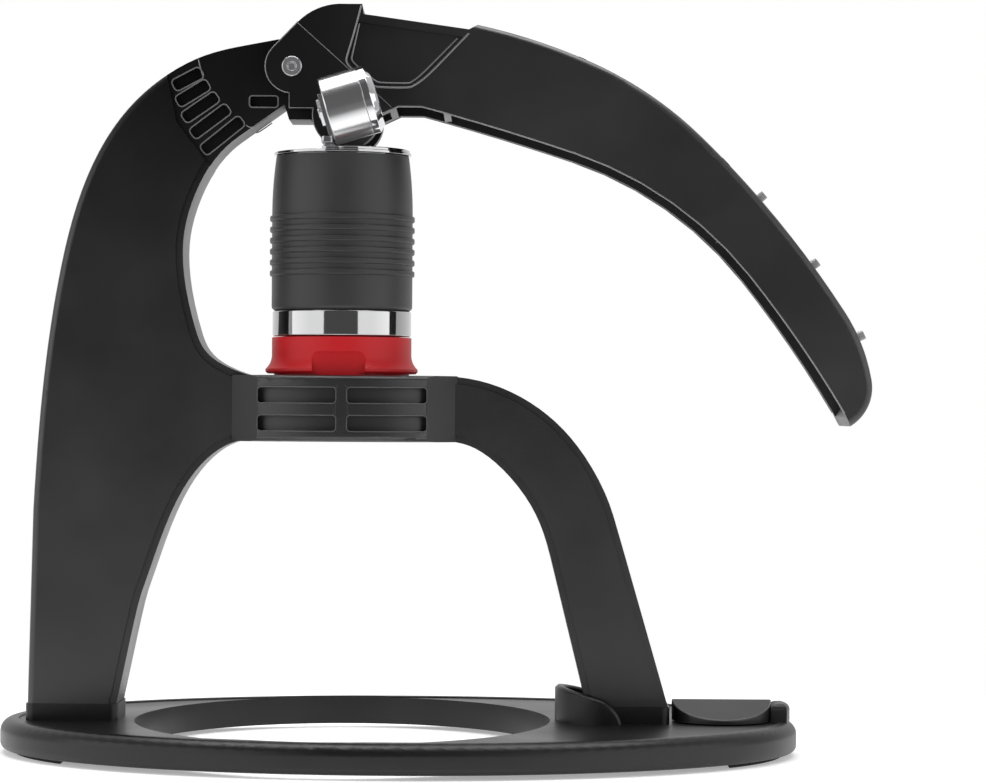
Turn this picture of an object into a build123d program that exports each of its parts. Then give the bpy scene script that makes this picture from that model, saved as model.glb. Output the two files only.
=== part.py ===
import os
from math import atan2, cos, degrees, radians, sin, sqrt, tan

from build123d import *

os.makedirs("parts", exist_ok=True)

# Driving dimensions, in millimetres. X runs along the base, the user stands at +X and +Z is up.

# Clearances
running_gap = 0.05
loose_gap = 0.3
seat_gap = 0.1

# Base ring and its rubber pads
base_length = 272.2
base_depth = 176.0
base_left = -147.9
pad_height = 1.4
pad_width = 5.0
pad_inset = 5.0
pad_reach = 26.1
base_height = 10.3
base_round = 4.4
under_round = 2.4
bead_round = 0.5
floor_drop = 0.6
bead_width = 6.4
ring_side = 5.0
hole_to_rear = 5.4
hole_to_front = 12.2
plinth_margin = 0.6
plinth_round = 3.0
cup_wall = 3.0
cup_offset = 7.2
cup_rise = 5.6
cup_run = 21.0
cup_flat = 14.0
cup_fall = 4.0
cup_space = 1.7
guard_wall = 5.6
guard_space = 0.8
guard_rise = 6.0
guard_angle = 44.0
guard_round = 2.2

# Frame: two legs, a deck and an arch that carries the hinge
seam_height = 16.8
rear_setback = 10.2
rear_leg_width = 30.3
front_setback = 72.1
front_leg_width = 27.6
frame_thickness = 25.0
lip_width = 2.4
lip_drop = 0.8
neck_thickness = 21.0
neck_round = 10.0
edge_round = 2.5
deck_top = 128.7
deck_thickness = 21.7
deck_length = 57.0
deck_depth = 58.0
deck_shift = 1.3
deck_drop = 0.7
deck_facet = 10.0
deck_bow = 6.0
deck_round = 2.0
deck_pocket_height = 5.4
deck_pocket_drop = 0.6
deck_pocket_depth = 3.2
deck_rib = 3.6
deck_web = 4.0
deck_pocket_round = 1.2
deck_ledge = 3.0
tenon_wall = 4.0
tenon_slack = 0.2
tenon_lift = 0.8
leg_lean = 1.5
lug_front = 6.1
lug_back = 1.4
lug_drop = 17.2
toe_length = 3.0
toe_height = 3.6
vent_count = 5
vent_width = 4.0
vent_depth = 3.0
vent_bow = 1.6
vent_round = 1.3
neck_slot_length = 9.4
neck_slot_height = 3.6
neck_slot_round = 0.8

# Brew head, stacked on the deck
brew_x = -32.2
cylinder_bore = 40.0
cylinder_wall = 1.5
cylinder_height = 62.0
band_diameter = 47.5
band_height = 8.8
band_bevel = 0.4
lead_in = 0.5
rim_diameter = 47.0
rim_thickness = 0.9
sleeve_top_diameter = 45.4
sleeve_diameter = 48.2
rib_height = 0.7
sleeve_round = 1.5
rib_count = 6
rib_pitch = 3.74
rib_width = 2.0
first_rib = 20.7
portafilter_height = 13.0
portafilter_top_diameter = 47.8
portafilter_foot_diameter = 52.2
foot_edge = 2.2
flare_height = 7.1
foot_lift = 0.7
foot_shadow = 3.0
funnel_drop = 3.0
collar_height = 6.0
spigot_diameter = 43.0
spigot_depth = 3.0
grip_width = 17.8
grip_height = 8.0
grip_cut = 1.7
grip_round = 2.5
basket_diameter = 34.0
basket_wall = 0.8
basket_depth = 13.0
basket_lip = 1.6
screen_thickness = 1.2
sieve_hole = 1.4
sieve_pitch = 2.3
sieve_count = 7
outlet_diameter = 9.0
spout_wall = 2.0
spout_drop = 9.0
ring_seal = 1.8

# Plunger
cap_diameter = 46.0
cap_thickness = 0.9
cap_flat = 6.0
boss_diameter = 39.0
boss_depth = 5.0
stem_diameter = 12.0
piston_height = 14.0
piston_gap = 0.25
seal_section = 3.0
seal_spacing = 6.5
passage = 3.0
piston_rest = 1.2
stem_spigot = 8.0
screw_shank = 5.0
screw_bore = 1.6
screw_grip = 10.0
piston_screw_head = 9.0
piston_screw_height = 2.5

# Hinge and lever
pin_offset = 16.5
pin_above_cap = 26.9
pin_diameter = 7.0
pin_proud = 0.5
pin_bevel = 0.4
pin_dimple = 1.6
bush_wall = 1.4
bush_flange = 1.2
bush_flange_diameter = 14.0
clip_wall = 2.4
clip_thickness = 0.9
lever_width = 39.0
lever_wall = 3.2
lever_round = 2.5
clevis_gap = 24.4
hub_radius = 9.0
ear_height = 21.1
nose_radius = 11.4
nose_offset = 2.0
nose_gap = 0.3
nose_flat = 1.0
saddle_drop = 3.4
panel_depth = 0.9
lever_rib = 2.4
nub_length = 3.0
nub_width = 30.0
nub_height = 2.4
nub_root = 1.4
nub_places = ((2, 0.37), (2, 0.75), (3, 0.39))
lever_reach = 196.3
bulkhead_reach = 23.7
bulkhead_drop = 5.5
rib_places = ((52.4, -15.4), (98.0, -26.0), (146.7, -57.0))
pin_tail = 1.2
clip_bite = 0.7

# Pressure gauge beside the lever
gauge_y = -32.3
gauge_reach = 3.5
gauge_rise = 12.5
gauge_tilt = 16.5
case_diameter = 23.0
case_length = 14.3
case_back = 7.7
case_wall = 1.2
case_round = 0.6
stud_diameter = 4.0
stud_proud = 0.3
bezel_step = 0.6
bezel_length = 4.4
bezel_reach = 1.4
bezel_bevel = 2.0
bezel_lip = 2.2
lens_thickness = 1.0
dial_thickness = 0.5
dial_depth = 3.0
pointer_length = 7.6
pointer_width = 1.0
pointer_thickness = 0.5
pointer_shaft = 1.2
movement_plate = 1.0
movement_space = 2.6
movement_post = 1.1
tube_section = 1.8
tube_radius = 6.2
tube_start = -80.0
tube_turn = 250.0
tube_block = 2.9
nut_size = 9.0
nut_length = 1.1
post_thickness = 1.4
post_width = 7.0
arm_width = 3.8
arm_height = 2.0
arm_start = 20.9
arm_length = 15.1
arm_back = 3.6
post_crest = 3.4
pointer_rest = 225.0

# Foot lock at the user end of the base
lock_setback = 25.6
lock_diameter = 34.0
lock_height = 7.6
lock_slope = 18.7
lock_shaft = 9.0
tongue_width = 9.0
tongue_reach = 28.0
tongue_thickness = 3.2
tongue_rise = 2.4
tongue_space = 0.8
lock_screw_head = 7.0
lock_screw_shank = 4.0
lock_screw_height = 1.6

# Heights and places that follow from the driving dimensions
base_a = base_length / 2
base_b = base_depth / 2
base_x = base_left + base_a
base_right = base_left + base_length
base_top = pad_height + base_height
floor_z = base_top - floor_drop
half_frame = frame_thickness / 2
half_neck = neck_thickness / 2
half_core = half_frame - lip_drop
deck_bottom = deck_top - deck_thickness
hub_x = brew_x + deck_shift
hub_bottom = deck_bottom - deck_drop
band_bottom = deck_top + portafilter_height + loose_gap
band_top = band_bottom + band_height
cylinder_top = band_bottom + cylinder_height
rim_top = cylinder_top + rim_thickness
cap_bottom = rim_top + seat_gap
cap_top = cap_bottom + cap_thickness
boss_bottom = cap_bottom - boss_depth
pin_x = brew_x - pin_offset
pin_z = cap_top + pin_above_cap
nose_x = brew_x + nose_offset
nose_bottom = cap_top + nose_gap
nose_z = nose_bottom + nose_radius - nose_flat
half_lever = lever_width / 2
half_clevis = clevis_gap / 2
bulkhead_x = pin_x + bulkhead_reach
bulkhead_z = pin_z - bulkhead_drop
rear_leg_outer = base_left + rear_setback
rear_leg_inner = rear_leg_outer + rear_leg_width
front_leg_inner = base_right - front_setback
front_leg_outer = front_leg_inner + front_leg_width
lock_x = base_right - lock_setback
hole_left = rear_leg_inner + hole_to_rear
hole_right = front_leg_inner - hole_to_front
plinth_depth = frame_thickness + 2 * plinth_margin
tenon_depth = frame_thickness - 2 * tenon_wall
tenon_bottom = pad_height + tenon_lift
tongue_bottom = pad_height + tongue_rise
tongue_top = tongue_bottom + tongue_thickness
lock_pocket_top = tongue_top + loose_gap
sleeve_bottom = band_top + seat_gap
sleeve_top = cylinder_top - loose_gap


def tenon_sketch(inner, outer, slack):
    """Rectangle of one leg's tenon, or of its socket when slack is added."""
    with Locations(((inner + outer) / 2, 0)):
        Rectangle(abs(outer - inner) - 2 * tenon_wall + 2 * slack, tenon_depth + 2 * slack)


# Heel cup: a curved wall round the inner side of the front leg, falling towards the user
cup_x = front_leg_inner + cup_offset
cup_radius = plinth_depth / 2 + cup_wall + cup_space
cup_top = seam_height + cup_rise

with BuildPart() as heel_cup:
    with BuildSketch(Plane.XY.offset(floor_z)):
        with Locations((cup_x, 0)):
            Circle(cup_radius)
            Circle(cup_radius - cup_wall, mode=Mode.SUBTRACT)
    extrude(amount=cup_top - floor_z)
    cup_left = cup_x - cup_radius
    with BuildSketch(Plane.XZ):
        with BuildLine():
            Polyline((cup_left + cup_run, floor_z), (cup_left, floor_z), (cup_left, cup_top))
            cup_knee = (cup_left + cup_flat, cup_top - cup_fall)
            Line((cup_left, cup_top), cup_knee)
            TangentArc(cup_knee, (cup_left + cup_run, floor_z), tangent=(cup_flat, -cup_fall))
        make_face()
    extrude(amount=2 * cup_radius, both=True, mode=Mode.INTERSECT)

# Base ring: an oval moulding with a low outer bead, two plinths, the heel cup and a thumb guard
with BuildPart() as base_ring:
    with BuildSketch(Plane.XY.offset(pad_height)):
        with Locations((base_x, 0)):
            Ellipse(base_a, base_b)
    extrude(amount=base_height)
    with BuildSketch(Plane.XY.offset(base_top)):
        with Locations((base_x, 0)):
            Ellipse(base_a - bead_width, base_b - bead_width)
    extrude(amount=-floor_drop, mode=Mode.SUBTRACT)
    bead_edges = base_ring.edges().filter_by(GeomType.ELLIPSE).group_by(Axis.Z)[-1].sort_by(SortBy.LENGTH)
    fillet(bead_edges[-1], radius=base_round)
    bead_edges = base_ring.edges().filter_by(GeomType.ELLIPSE).group_by(Axis.Z)[-1].sort_by(SortBy.LENGTH)
    fillet(bead_edges[0], radius=bead_round)
    fillet(base_ring.edges().group_by(Axis.Z)[0], radius=under_round)
    with BuildSketch(Plane.XY.offset(pad_height)):
        with Locations(((hole_left + hole_right) / 2, 0)):
            Ellipse((hole_right - hole_left) / 2, base_b - ring_side)
    extrude(amount=base_height, mode=Mode.SUBTRACT)
    for inner, outer in ((rear_leg_inner, rear_leg_outer), (front_leg_inner, front_leg_outer)):
        with BuildSketch(Plane.XY.offset(floor_z)):
            with Locations(((inner + outer) / 2, 0)):
                RectangleRounded(abs(outer - inner) + 2 * plinth_margin, plinth_depth, plinth_round)
        extrude(amount=seam_height - floor_z)
    add(heel_cup.part)
    guard_top = base_top + guard_rise
    with BuildSketch(Plane.XY.offset(base_top - base_round)):
        with Locations((lock_x, 0)):
            Circle(lock_diameter / 2 + guard_space + guard_wall)
            Circle(lock_diameter / 2 + guard_space, mode=Mode.SUBTRACT)
        with BuildLine():
            reach = lock_diameter
            spread = reach * tan(radians(guard_angle / 2))
            Polyline((lock_x, 0), (lock_x + reach, spread), (lock_x + reach, -spread), close=True)
        make_face(mode=Mode.INTERSECT)
    extrude(amount=base_round + guard_rise)
    guard_edges = base_ring.edges().filter_by(lambda e: abs(e.center().Z - guard_top) < 0.01)
    fillet(guard_edges.filter_by(lambda e: e.center().X > lock_x), radius=guard_round)
    for inner, outer in ((rear_leg_inner, rear_leg_outer), (front_leg_inner, front_leg_outer)):
        with BuildSketch(Plane.XY.offset(pad_height)):
            tenon_sketch(inner, outer, tenon_slack)
        extrude(amount=seam_height, mode=Mode.SUBTRACT)
    with BuildSketch(Plane.XY.offset(pad_height)):
        toe_left = rear_leg_outer + tenon_wall - toe_length - tenon_slack
        with Locations((toe_left, 0)):
            toe_depth = tenon_depth + 2 * tenon_slack
            Rectangle(toe_length + tenon_wall, toe_depth, align=(Align.MIN, Align.CENTER))
    extrude(amount=toe_height + tenon_lift + 2 * tenon_slack, mode=Mode.SUBTRACT)
    with BuildSketch(Plane.XY.offset(pad_height)):
        margin = tongue_width / 2 + tongue_space
        sweep_radius = tongue_reach + tongue_space
        with Locations((lock_x, 0)):
            Circle(sweep_radius)
        with Locations((lock_x + margin, margin)):
            Rectangle(
                sweep_radius + margin + 1,
                sweep_radius + margin + 1,
                align=(Align.MAX, Align.MAX),
                mode=Mode.INTERSECT,
            )
        with Locations((lock_x, 0)):
            Circle(margin * sqrt(2))
    extrude(amount=lock_pocket_top - pad_height, mode=Mode.SUBTRACT)
    with BuildSketch(Plane.XY.offset(pad_height)):
        with Locations((lock_x, 0)):
            Circle(lock_shaft / 2 + running_gap)
    extrude(amount=base_height, mode=Mode.SUBTRACT)
base_ring.part.label = "base_ring"
export_step(base_ring.part, "parts/base_ring.step")

# Rubber pads: four curved strips under the two ends of the ring
with BuildPart() as foot_pads:
    with BuildSketch(Plane.XY):
        with Locations((base_x, 0)):
            Ellipse(base_a - pad_inset, base_b - pad_inset)
            Ellipse(base_a - pad_inset - pad_width, base_b - pad_inset - pad_width, mode=Mode.SUBTRACT)
            Rectangle(2 * (base_a - pad_reach), base_depth, mode=Mode.SUBTRACT)
            Rectangle(base_length, 2 * pad_width, mode=Mode.SUBTRACT)
    extrude(amount=pad_height)
foot_pads.part.label = "foot_pads"
export_step(foot_pads.part, "parts/foot_pads.step")

# Foot lock: a turn knob with a ridged top, and a tongue below the floor that grips the front tenon
with BuildPart() as foot_lock_knob:
    with BuildSketch(Plane.XY.offset(floor_z + loose_gap)):
        with Locations((lock_x, 0)):
            Circle(lock_diameter / 2)
    extrude(amount=2 * lock_height)
    slope = radians(lock_slope)
    for side in (1, -1):
        tilt_normal = (0, side * sin(slope), cos(slope))
        split(bisect_by=Plane((lock_x, 0, floor_z + lock_height), (1, 0, 0), tilt_normal), keep=Keep.BOTTOM)
    with BuildSketch(Plane.XY.offset(tongue_top)):
        with Locations((lock_x, 0)):
            Circle(lock_shaft / 2)
    extrude(amount=floor_z + loose_gap - tongue_top)
    with BuildSketch(Plane.XY.offset(tongue_top)):
        with Locations((lock_x, 0)):
            Circle(lock_screw_shank / 2)
    extrude(amount=lock_height, mode=Mode.SUBTRACT)
foot_lock_knob.part.label = "foot_lock_knob"
export_step(foot_lock_knob.part, "parts/foot_lock_knob.step")

with BuildPart() as foot_lock_tongue:
    with BuildSketch(Plane.XY.offset(tongue_bottom)):
        with Locations((lock_x, 0)):
            Circle(tongue_width / 2)
            Rectangle(tongue_reach, tongue_width, align=(Align.MAX, Align.CENTER))
        with Locations((lock_x, 0)):
            Circle(tongue_reach, mode=Mode.INTERSECT)
    extrude(amount=tongue_thickness)
    with BuildSketch(Plane.XY.offset(tongue_bottom)):
        with Locations((lock_x, 0)):
            Circle(lock_screw_head / 2 + seat_gap)
    extrude(amount=lock_screw_height, mode=Mode.SUBTRACT)
    with BuildSketch(Plane.XY.offset(tongue_bottom)):
        with Locations((lock_x, 0)):
            Circle(lock_screw_shank / 2 + seat_gap)
    extrude(amount=tongue_thickness, mode=Mode.SUBTRACT)
foot_lock_tongue.part.label = "foot_lock_tongue"
export_step(foot_lock_tongue.part, "parts/foot_lock_tongue.step")

with BuildPart() as foot_lock_screw:
    with BuildSketch(Plane.XY.offset(tongue_bottom)):
        with Locations((lock_x, 0)):
            Circle(lock_screw_head / 2)
    extrude(amount=lock_screw_height)
    with BuildSketch(Plane.XY.offset(tongue_bottom)):
        with Locations((lock_x, 0)):
            Circle(lock_screw_shank / 2 - running_gap)
    extrude(amount=tongue_thickness + lock_height - seat_gap)
    with BuildSketch(Plane.XY.offset(tongue_bottom)):
        with Locations((lock_x, 0)):
            RegularPolygon(lock_screw_shank / 3, 6)
    extrude(amount=lock_screw_height / 2, mode=Mode.SUBTRACT)
foot_lock_screw.part.label = "foot_lock_screw"
export_step(foot_lock_screw.part, "parts/foot_lock_screw.step")

# Frame outline, seen from the side: rear leg, arch, neck, window, deck and front leg
arch_rise = pin_z - seam_height
deck_rise = deck_bottom - seam_height


def on_arch(along, above):
    """Place on the arch, as parts of its rise, measured from the hinge."""
    return (pin_x + along * arch_rise, pin_z + above * arch_rise)


def by_deck(start, along, level, below):
    """Place beside the deck, as parts of the cup space's height, below a level."""
    return (start + along * deck_rise, level - below * deck_rise)


arch_low = (rear_leg_outer + leg_lean, seam_height + 0.3056 * arch_rise)
arch_points = (
    arch_low,
    on_arch(-0.3653, -0.3204),
    on_arch(-0.3255, -0.1759),
    on_arch(-0.2465, -0.05),
    on_arch(-0.1491, 0.0167),
    (pin_x - 0.55 * neck_round, pin_z + neck_round),
)
window_points = (
    on_arch(-0.0139, -0.056),
    on_arch(-0.087, -0.1083),
    on_arch(-0.1509, -0.1935),
    on_arch(-0.1708, -0.269),
    by_deck(pin_x, -0.3625, deck_top, -0.1752),
    by_deck(pin_x, -0.1585, deck_top, 0),
)
rear_arch_points = (
    by_deck(rear_leg_inner, 0.05, deck_bottom, 0.759),
    by_deck(rear_leg_inner, 0.11, deck_bottom, 0.529),
    by_deck(rear_leg_inner, 0.1935, deck_bottom, 0.297),
    by_deck(rear_leg_inner, 0.346, deck_bottom, 0.0655),
    (brew_x - deck_length / 2, deck_bottom),
)
front_arch_points = (
    by_deck(brew_x, 0.2661, deck_bottom, 0),
    by_deck(brew_x, 0.5322, deck_bottom, 0.0432),
    by_deck(brew_x, 0.7217, deck_bottom, 0.245),
    by_deck(brew_x, 0.7982, deck_bottom, 0.4446),
)
front_leg_points = (
    by_deck(brew_x, 0.3769, deck_top, 0),
    by_deck(brew_x, 0.6663, deck_top, 0.0687),
    by_deck(brew_x, 0.8703, deck_top, 0.2295),
    by_deck(brew_x, 1.0033, deck_top, 0.4435),
    by_deck(brew_x, 1.0798, deck_top, 0.6829),
)
lug_x = pin_x + lug_front
lug_bottom = pin_z - lug_drop
lug_left = pin_x - lug_back

with BuildSketch(Plane.XZ) as frame_side:
    with BuildLine():
        Line((rear_leg_outer, seam_height), arch_low)
        Spline(*arch_points, tangents=((0.05, 1), (1, 0.2)))
        Line(arch_points[-1], (pin_x, pin_z + neck_round))
        RadiusArc((pin_x, pin_z + neck_round), (pin_x + neck_round, pin_z), neck_round)
        Polyline((pin_x + neck_round, pin_z), (lug_x, lug_bottom), (lug_left, lug_bottom), window_points[0])
        Line(window_points[0], window_points[1])
        Spline(*window_points[1:], tangents=((-0.81, -0.58), (1, -0.3)))
        Line(window_points[-1], front_leg_points[0])
        Spline(*front_leg_points, tangents=((1, 0), (0.29, -0.96)))
        Line(front_leg_points[-1], (front_leg_outer, seam_height))
        Line((front_leg_outer, seam_height), (front_leg_inner, seam_height))
        Line((front_leg_inner, seam_height), front_arch_points[-1])
        Spline(*reversed(front_arch_points), tangents=((-0.24, 0.97), (-1, 0)))
        Line(front_arch_points[0], rear_arch_points[-1])
        Spline(*reversed(rear_arch_points), tangents=((-1, 0), (-0.205, -0.979)))
        Line(rear_arch_points[0], (rear_leg_inner, seam_height))
        Line((rear_leg_inner, seam_height), (rear_leg_outer, seam_height))
    make_face()

# Raised side faces: set back from the inner edges by the lip, flush along the outside of the arch
with BuildSketch(Plane.XZ) as raised_side:
    add(frame_side.sketch_local)
    offset(amount=-lip_width, mode=Mode.REPLACE)

with BuildSketch(Plane.XZ) as outer_strip:
    with BuildLine():
        Polyline(
            (rear_leg_outer - rear_leg_width, seam_height),
            (rear_leg_inner - lip_width, seam_height),
            (rear_leg_inner - lip_width, seam_height + 2 * lip_width),
            (rear_leg_outer + rear_leg_width / 2, seam_height + 2 * lip_width),
            (rear_leg_outer + rear_leg_width / 2, deck_top),
            on_arch(-0.2778, -0.2083),
            on_arch(-0.1667, -0.0556),
            (pin_x, pin_z),
            (pin_x, pin_z + rear_leg_width),
            (rear_leg_outer - rear_leg_width, pin_z + rear_leg_width),
            close=True,
        )
    make_face()
    add(frame_side.sketch_local, mode=Mode.INTERSECT)

# Shallow windows in the bowed faces of the deck, cut down to a core that follows the bow
with BuildPart() as deck_pockets:
    pocket_length = (deck_length - deck_rib) / 2
    for column in (-1, 1):
        for row in (-1, 1):
            with BuildSketch(Plane.XZ):
                pocket_x = hub_x + column * (pocket_length + deck_rib) / 2
                pocket_mid = deck_bottom + deck_thickness / 2 - deck_pocket_drop
                pocket_z = pocket_mid + row * (deck_pocket_height + deck_web) / 2
                with Locations((pocket_x, pocket_z)):
                    RectangleRounded(pocket_length, deck_pocket_height, deck_pocket_round)
            extrude(amount=deck_depth, both=True)
    with BuildSketch(Plane.XY.offset(deck_bottom)):
        core = deck_depth / 2 - deck_pocket_depth
        with BuildLine():
            ThreePointArc(
                (hub_x - deck_length / 2, deck_bow - core),
                (hub_x, -core),
                (hub_x + deck_length / 2, deck_bow - core),
            )
            mirror(about=Plane.XZ)
            Line((hub_x - deck_length / 2, deck_bow - core), (hub_x - deck_length / 2, core - deck_bow))
            Line((hub_x + deck_length / 2, deck_bow - core), (hub_x + deck_length / 2, core - deck_bow))
        make_face()
    extrude(amount=deck_thickness, mode=Mode.SUBTRACT)

# Deck hub: the bowed platform under the brew head, with facets running back to the legs
with BuildPart() as deck_hub:
    with BuildSketch(Plane.XY.offset(hub_bottom)):
        half = deck_length / 2
        shoulder = deck_depth / 2 - deck_bow
        with BuildLine():
            Line((hub_x - half - deck_facet, -half_core), (hub_x - half, -shoulder))
            ThreePointArc((hub_x - half, -shoulder), (hub_x, -deck_depth / 2), (hub_x + half, -shoulder))
            Line((hub_x + half, -shoulder), (hub_x + half + deck_facet, -half_core))
            mirror(about=Plane.XZ)
            Line((hub_x - half - deck_facet, -half_core), (hub_x - half - deck_facet, half_core))
            Line((hub_x + half + deck_facet, -half_core), (hub_x + half + deck_facet, half_core))
        make_face()
    extrude(amount=deck_thickness + deck_drop)
    hub_rims = deck_hub.edges().group_by(Axis.Z)[-1] + deck_hub.edges().group_by(Axis.Z)[0]
    fillet(hub_rims.filter_by(GeomType.CIRCLE), radius=deck_round)

# Frame: one moulding from the base sockets to the hinge
with BuildPart() as frame:
    extrude(to_extrude=frame_side.sketch, amount=half_frame, both=True)
    face_edges = frame.edges().filter_by(lambda e: abs(abs(e.center().Y) - half_frame) < 0.01)
    arch_edges = face_edges.filter_by(lambda e: e.length > 60 and e.center().X < rear_leg_inner)
    fillet(arch_edges.group_by(Axis.X)[0] + arch_edges.group_by(Axis.X)[1], radius=edge_round)
    for side in (1, -1):
        with BuildSketch(Plane.XZ.offset(side * half_core)):
            add(frame_side.sketch_local)
            add(raised_side.sketch_local.to_splines(), mode=Mode.SUBTRACT)
            add(outer_strip.sketch_local, mode=Mode.SUBTRACT)
        extrude(amount=side * 2 * lip_drop, mode=Mode.SUBTRACT)
    add(deck_hub.part)
    for inner, outer in ((rear_leg_inner, rear_leg_outer), (front_leg_inner, front_leg_outer)):
        with BuildSketch(Plane.XY.offset(tenon_bottom)):
            tenon_sketch(inner, outer, 0)
        extrude(amount=seam_height - tenon_bottom + lip_width)
    with BuildSketch(Plane.XY.offset(tenon_bottom)):
        with Locations((rear_leg_outer + tenon_wall - toe_length, 0)):
            Rectangle(toe_length + tenon_wall, tenon_depth, align=(Align.MIN, Align.CENTER))
    extrude(amount=toe_height)
    with BuildSketch(Plane.XY.offset(tongue_bottom - loose_gap)):
        with Locations((lock_x - tongue_reach - 2 * loose_gap, 0)):
            Rectangle(front_leg_width, frame_thickness, align=(Align.MIN, Align.CENTER))
    extrude(amount=tongue_thickness + 2 * loose_gap, mode=Mode.SUBTRACT)
    add(deck_pockets.part, mode=Mode.SUBTRACT)
    with BuildSketch(Plane.XY.offset(deck_top)):
        with Locations((brew_x, 0)):
            Circle(spigot_diameter / 2 + loose_gap)
    extrude(amount=-spigot_depth - loose_gap, mode=Mode.SUBTRACT)
    with BuildSketch(Plane.XY.offset(deck_top)):
        with Locations((brew_x, 0)):
            Circle(spigot_diameter / 2 - deck_ledge)
    extrude(amount=-deck_thickness - deck_drop, mode=Mode.SUBTRACT)
    for side in (1, -1):
        with BuildSketch(Plane.XZ.offset(side * half_neck)):
            with BuildLine():
                Polyline(
                    on_arch(-0.206, 0.139),
                    on_arch(-0.206, 0.0231),
                    on_arch(-0.1829, -0.0856),
                    on_arch(-0.1204, -0.1667),
                    on_arch(0.139, -0.1667),
                    on_arch(0.139, 0.139),
                    close=True,
                )
            make_face()
        extrude(amount=side * frame_thickness, mode=Mode.SUBTRACT)
        with BuildSketch(Plane.XZ.offset(side * half_neck)):
            for i in range(vent_count):
                t = i / (vent_count - 1)
                bow = vent_bow * 4 * t * (1 - t)
                left = on_arch(-0.188 + 0.0468 * t, -0.0287 - 0.1014 * t)
                right = on_arch(-0.1444 + 0.0639 * t, -0.0056 - 0.0755 * t)
                span = sqrt((right[0] - left[0]) ** 2 + (right[1] - left[1]) ** 2)
                middle = ((left[0] + right[0]) / 2 - bow, (left[1] + right[1]) / 2)
                turn = degrees(atan2(right[1] - left[1], right[0] - left[0]))
                with Locations(middle):
                    RectangleRounded(span, vent_width, vent_round, rotation=turn)
            with Locations(on_arch(-0.0463, -0.0519)):
                RectangleRounded(neck_slot_length, neck_slot_height, neck_slot_round)
        extrude(amount=-side * vent_depth, mode=Mode.SUBTRACT)
    with BuildSketch(Plane.XZ):
        with Locations((pin_x, pin_z)):
            Circle(pin_diameter / 2 + bush_wall + 2 * running_gap)
    extrude(amount=frame_thickness, both=True, mode=Mode.SUBTRACT)
frame.part.label = "frame"
export_step(frame.part, "parts/frame.step")

# Hinge bushes: two flanged sleeves pressed into the neck from either side
with BuildPart() as hinge_bushes:
    for side in (1, -1):
        with BuildSketch(Plane.XZ.offset(side * half_neck)):
            with Locations((pin_x, pin_z)):
                Circle(bush_flange_diameter / 2)
                Circle(pin_diameter / 2 + running_gap, mode=Mode.SUBTRACT)
        extrude(amount=side * bush_flange)
        with BuildSketch(Plane.XZ.offset(side * half_neck)):
            with Locations((pin_x, pin_z)):
                Circle(pin_diameter / 2 + running_gap + bush_wall)
                Circle(pin_diameter / 2 + running_gap, mode=Mode.SUBTRACT)
        extrude(amount=-side * (half_neck - bush_flange))
hinge_bushes.part.label = "hinge_bushes"
export_step(hinge_bushes.part, "parts/hinge_bushes.step")


def headings(points, first):
    """Heading in degrees at each point of a run of tangent arcs."""
    run = [first]
    for a, b in zip(points, points[1:]):
        run.append(2 * degrees(atan2(b[1] - a[1], b[0] - a[0])) - run[-1])
    return run


def inset(point, heading, depth):
    """Point moved square to its heading, to the inner side of the lever."""
    turn = radians(heading)
    return (point[0] + depth * sin(turn), point[1] - depth * cos(turn))


# Lever outline, seen from the side: clevis ears, saddle, long curved grip and the two pressing noses
def on_lever(along, above):
    """Place on the lever, as parts of its reach from the hinge."""
    return (pin_x + along * lever_reach, pin_z + above * lever_reach)


hub_start = (pin_x - hub_radius * cos(radians(41.4)), pin_z + hub_radius * sin(radians(41.4)))
ear_corner = (pin_x + 2.1, pin_z + 15.1)
ear_top = (pin_x + 15.5, pin_z + ear_height)
ear_end = (pin_x + 23.6, pin_z + ear_height)
saddle_start = (pin_x + 24.1, pin_z + ear_height - saddle_drop)
saddle_end = on_lever(0.304, 0.065)
back_points = (
    on_lever(0.3195, 0.074),
    on_lever(0.5135, 0.0117),
    on_lever(0.7066, -0.1177),
    on_lever(0.9536, -0.4162),
    on_lever(1, -0.5329),
)
back_headings = headings(back_points, -12.0)
tip_low = on_lever(0.9638, -0.6128)
nose_right = (nose_x + nose_radius, nose_z)
belly_points = (
    on_lever(0.9521, -0.5894),
    on_lever(0.7901, -0.3571),
    on_lever(0.487, -0.1467),
    (nose_right[0] + 14.0, pin_z - 13.4),
    (nose_right[0] + 6.0, pin_z - 13.4),
)
nose_left = (nose_x - nose_radius * cos(radians(11)), nose_z + nose_radius * sin(radians(11)))
nose_half = sqrt(nose_radius**2 - (nose_radius - nose_flat) ** 2)
heel_x = pin_x - 0.8
heel_z = pin_z - sqrt(hub_radius**2 - 0.8**2)

with BuildSketch(Plane.XZ) as lever_side:
    with BuildLine():
        Line(hub_start, ear_corner)
        TangentArc(ear_corner, ear_top, tangent=(1, 1))
        Polyline(ear_top, ear_end, saddle_start, saddle_end, back_points[0])
        grip_arcs = []
        for a, b, heading in zip(back_points, back_points[1:], back_headings):
            direction = (cos(radians(heading)), sin(radians(heading)))
            grip_arcs.append(TangentArc(a, b, tangent=direction))
        tip_heading = radians(back_headings[-1])
        TangentArc(back_points[-1], tip_low, tangent=(cos(tip_heading), sin(tip_heading)))
        Line(tip_low, belly_points[0])
        for a, b, heading in zip(belly_points, belly_points[1:4], headings(belly_points[:4], 121.0)):
            TangentArc(a, b, tangent=(cos(radians(heading)), sin(radians(heading))))
        Polyline(belly_points[3], belly_points[4], nose_right)
        RadiusArc(nose_right, (nose_x + nose_half, nose_bottom), nose_radius)
        Line((nose_x + nose_half, nose_bottom), (nose_x - nose_half, nose_bottom))
        RadiusArc((nose_x - nose_half, nose_bottom), nose_left, nose_radius)
        Polyline(nose_left, (heel_x, nose_left[1]), (heel_x, heel_z))
        ThreePointArc((heel_x, heel_z), (pin_x - hub_radius, pin_z), hub_start)
    make_face()

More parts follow.
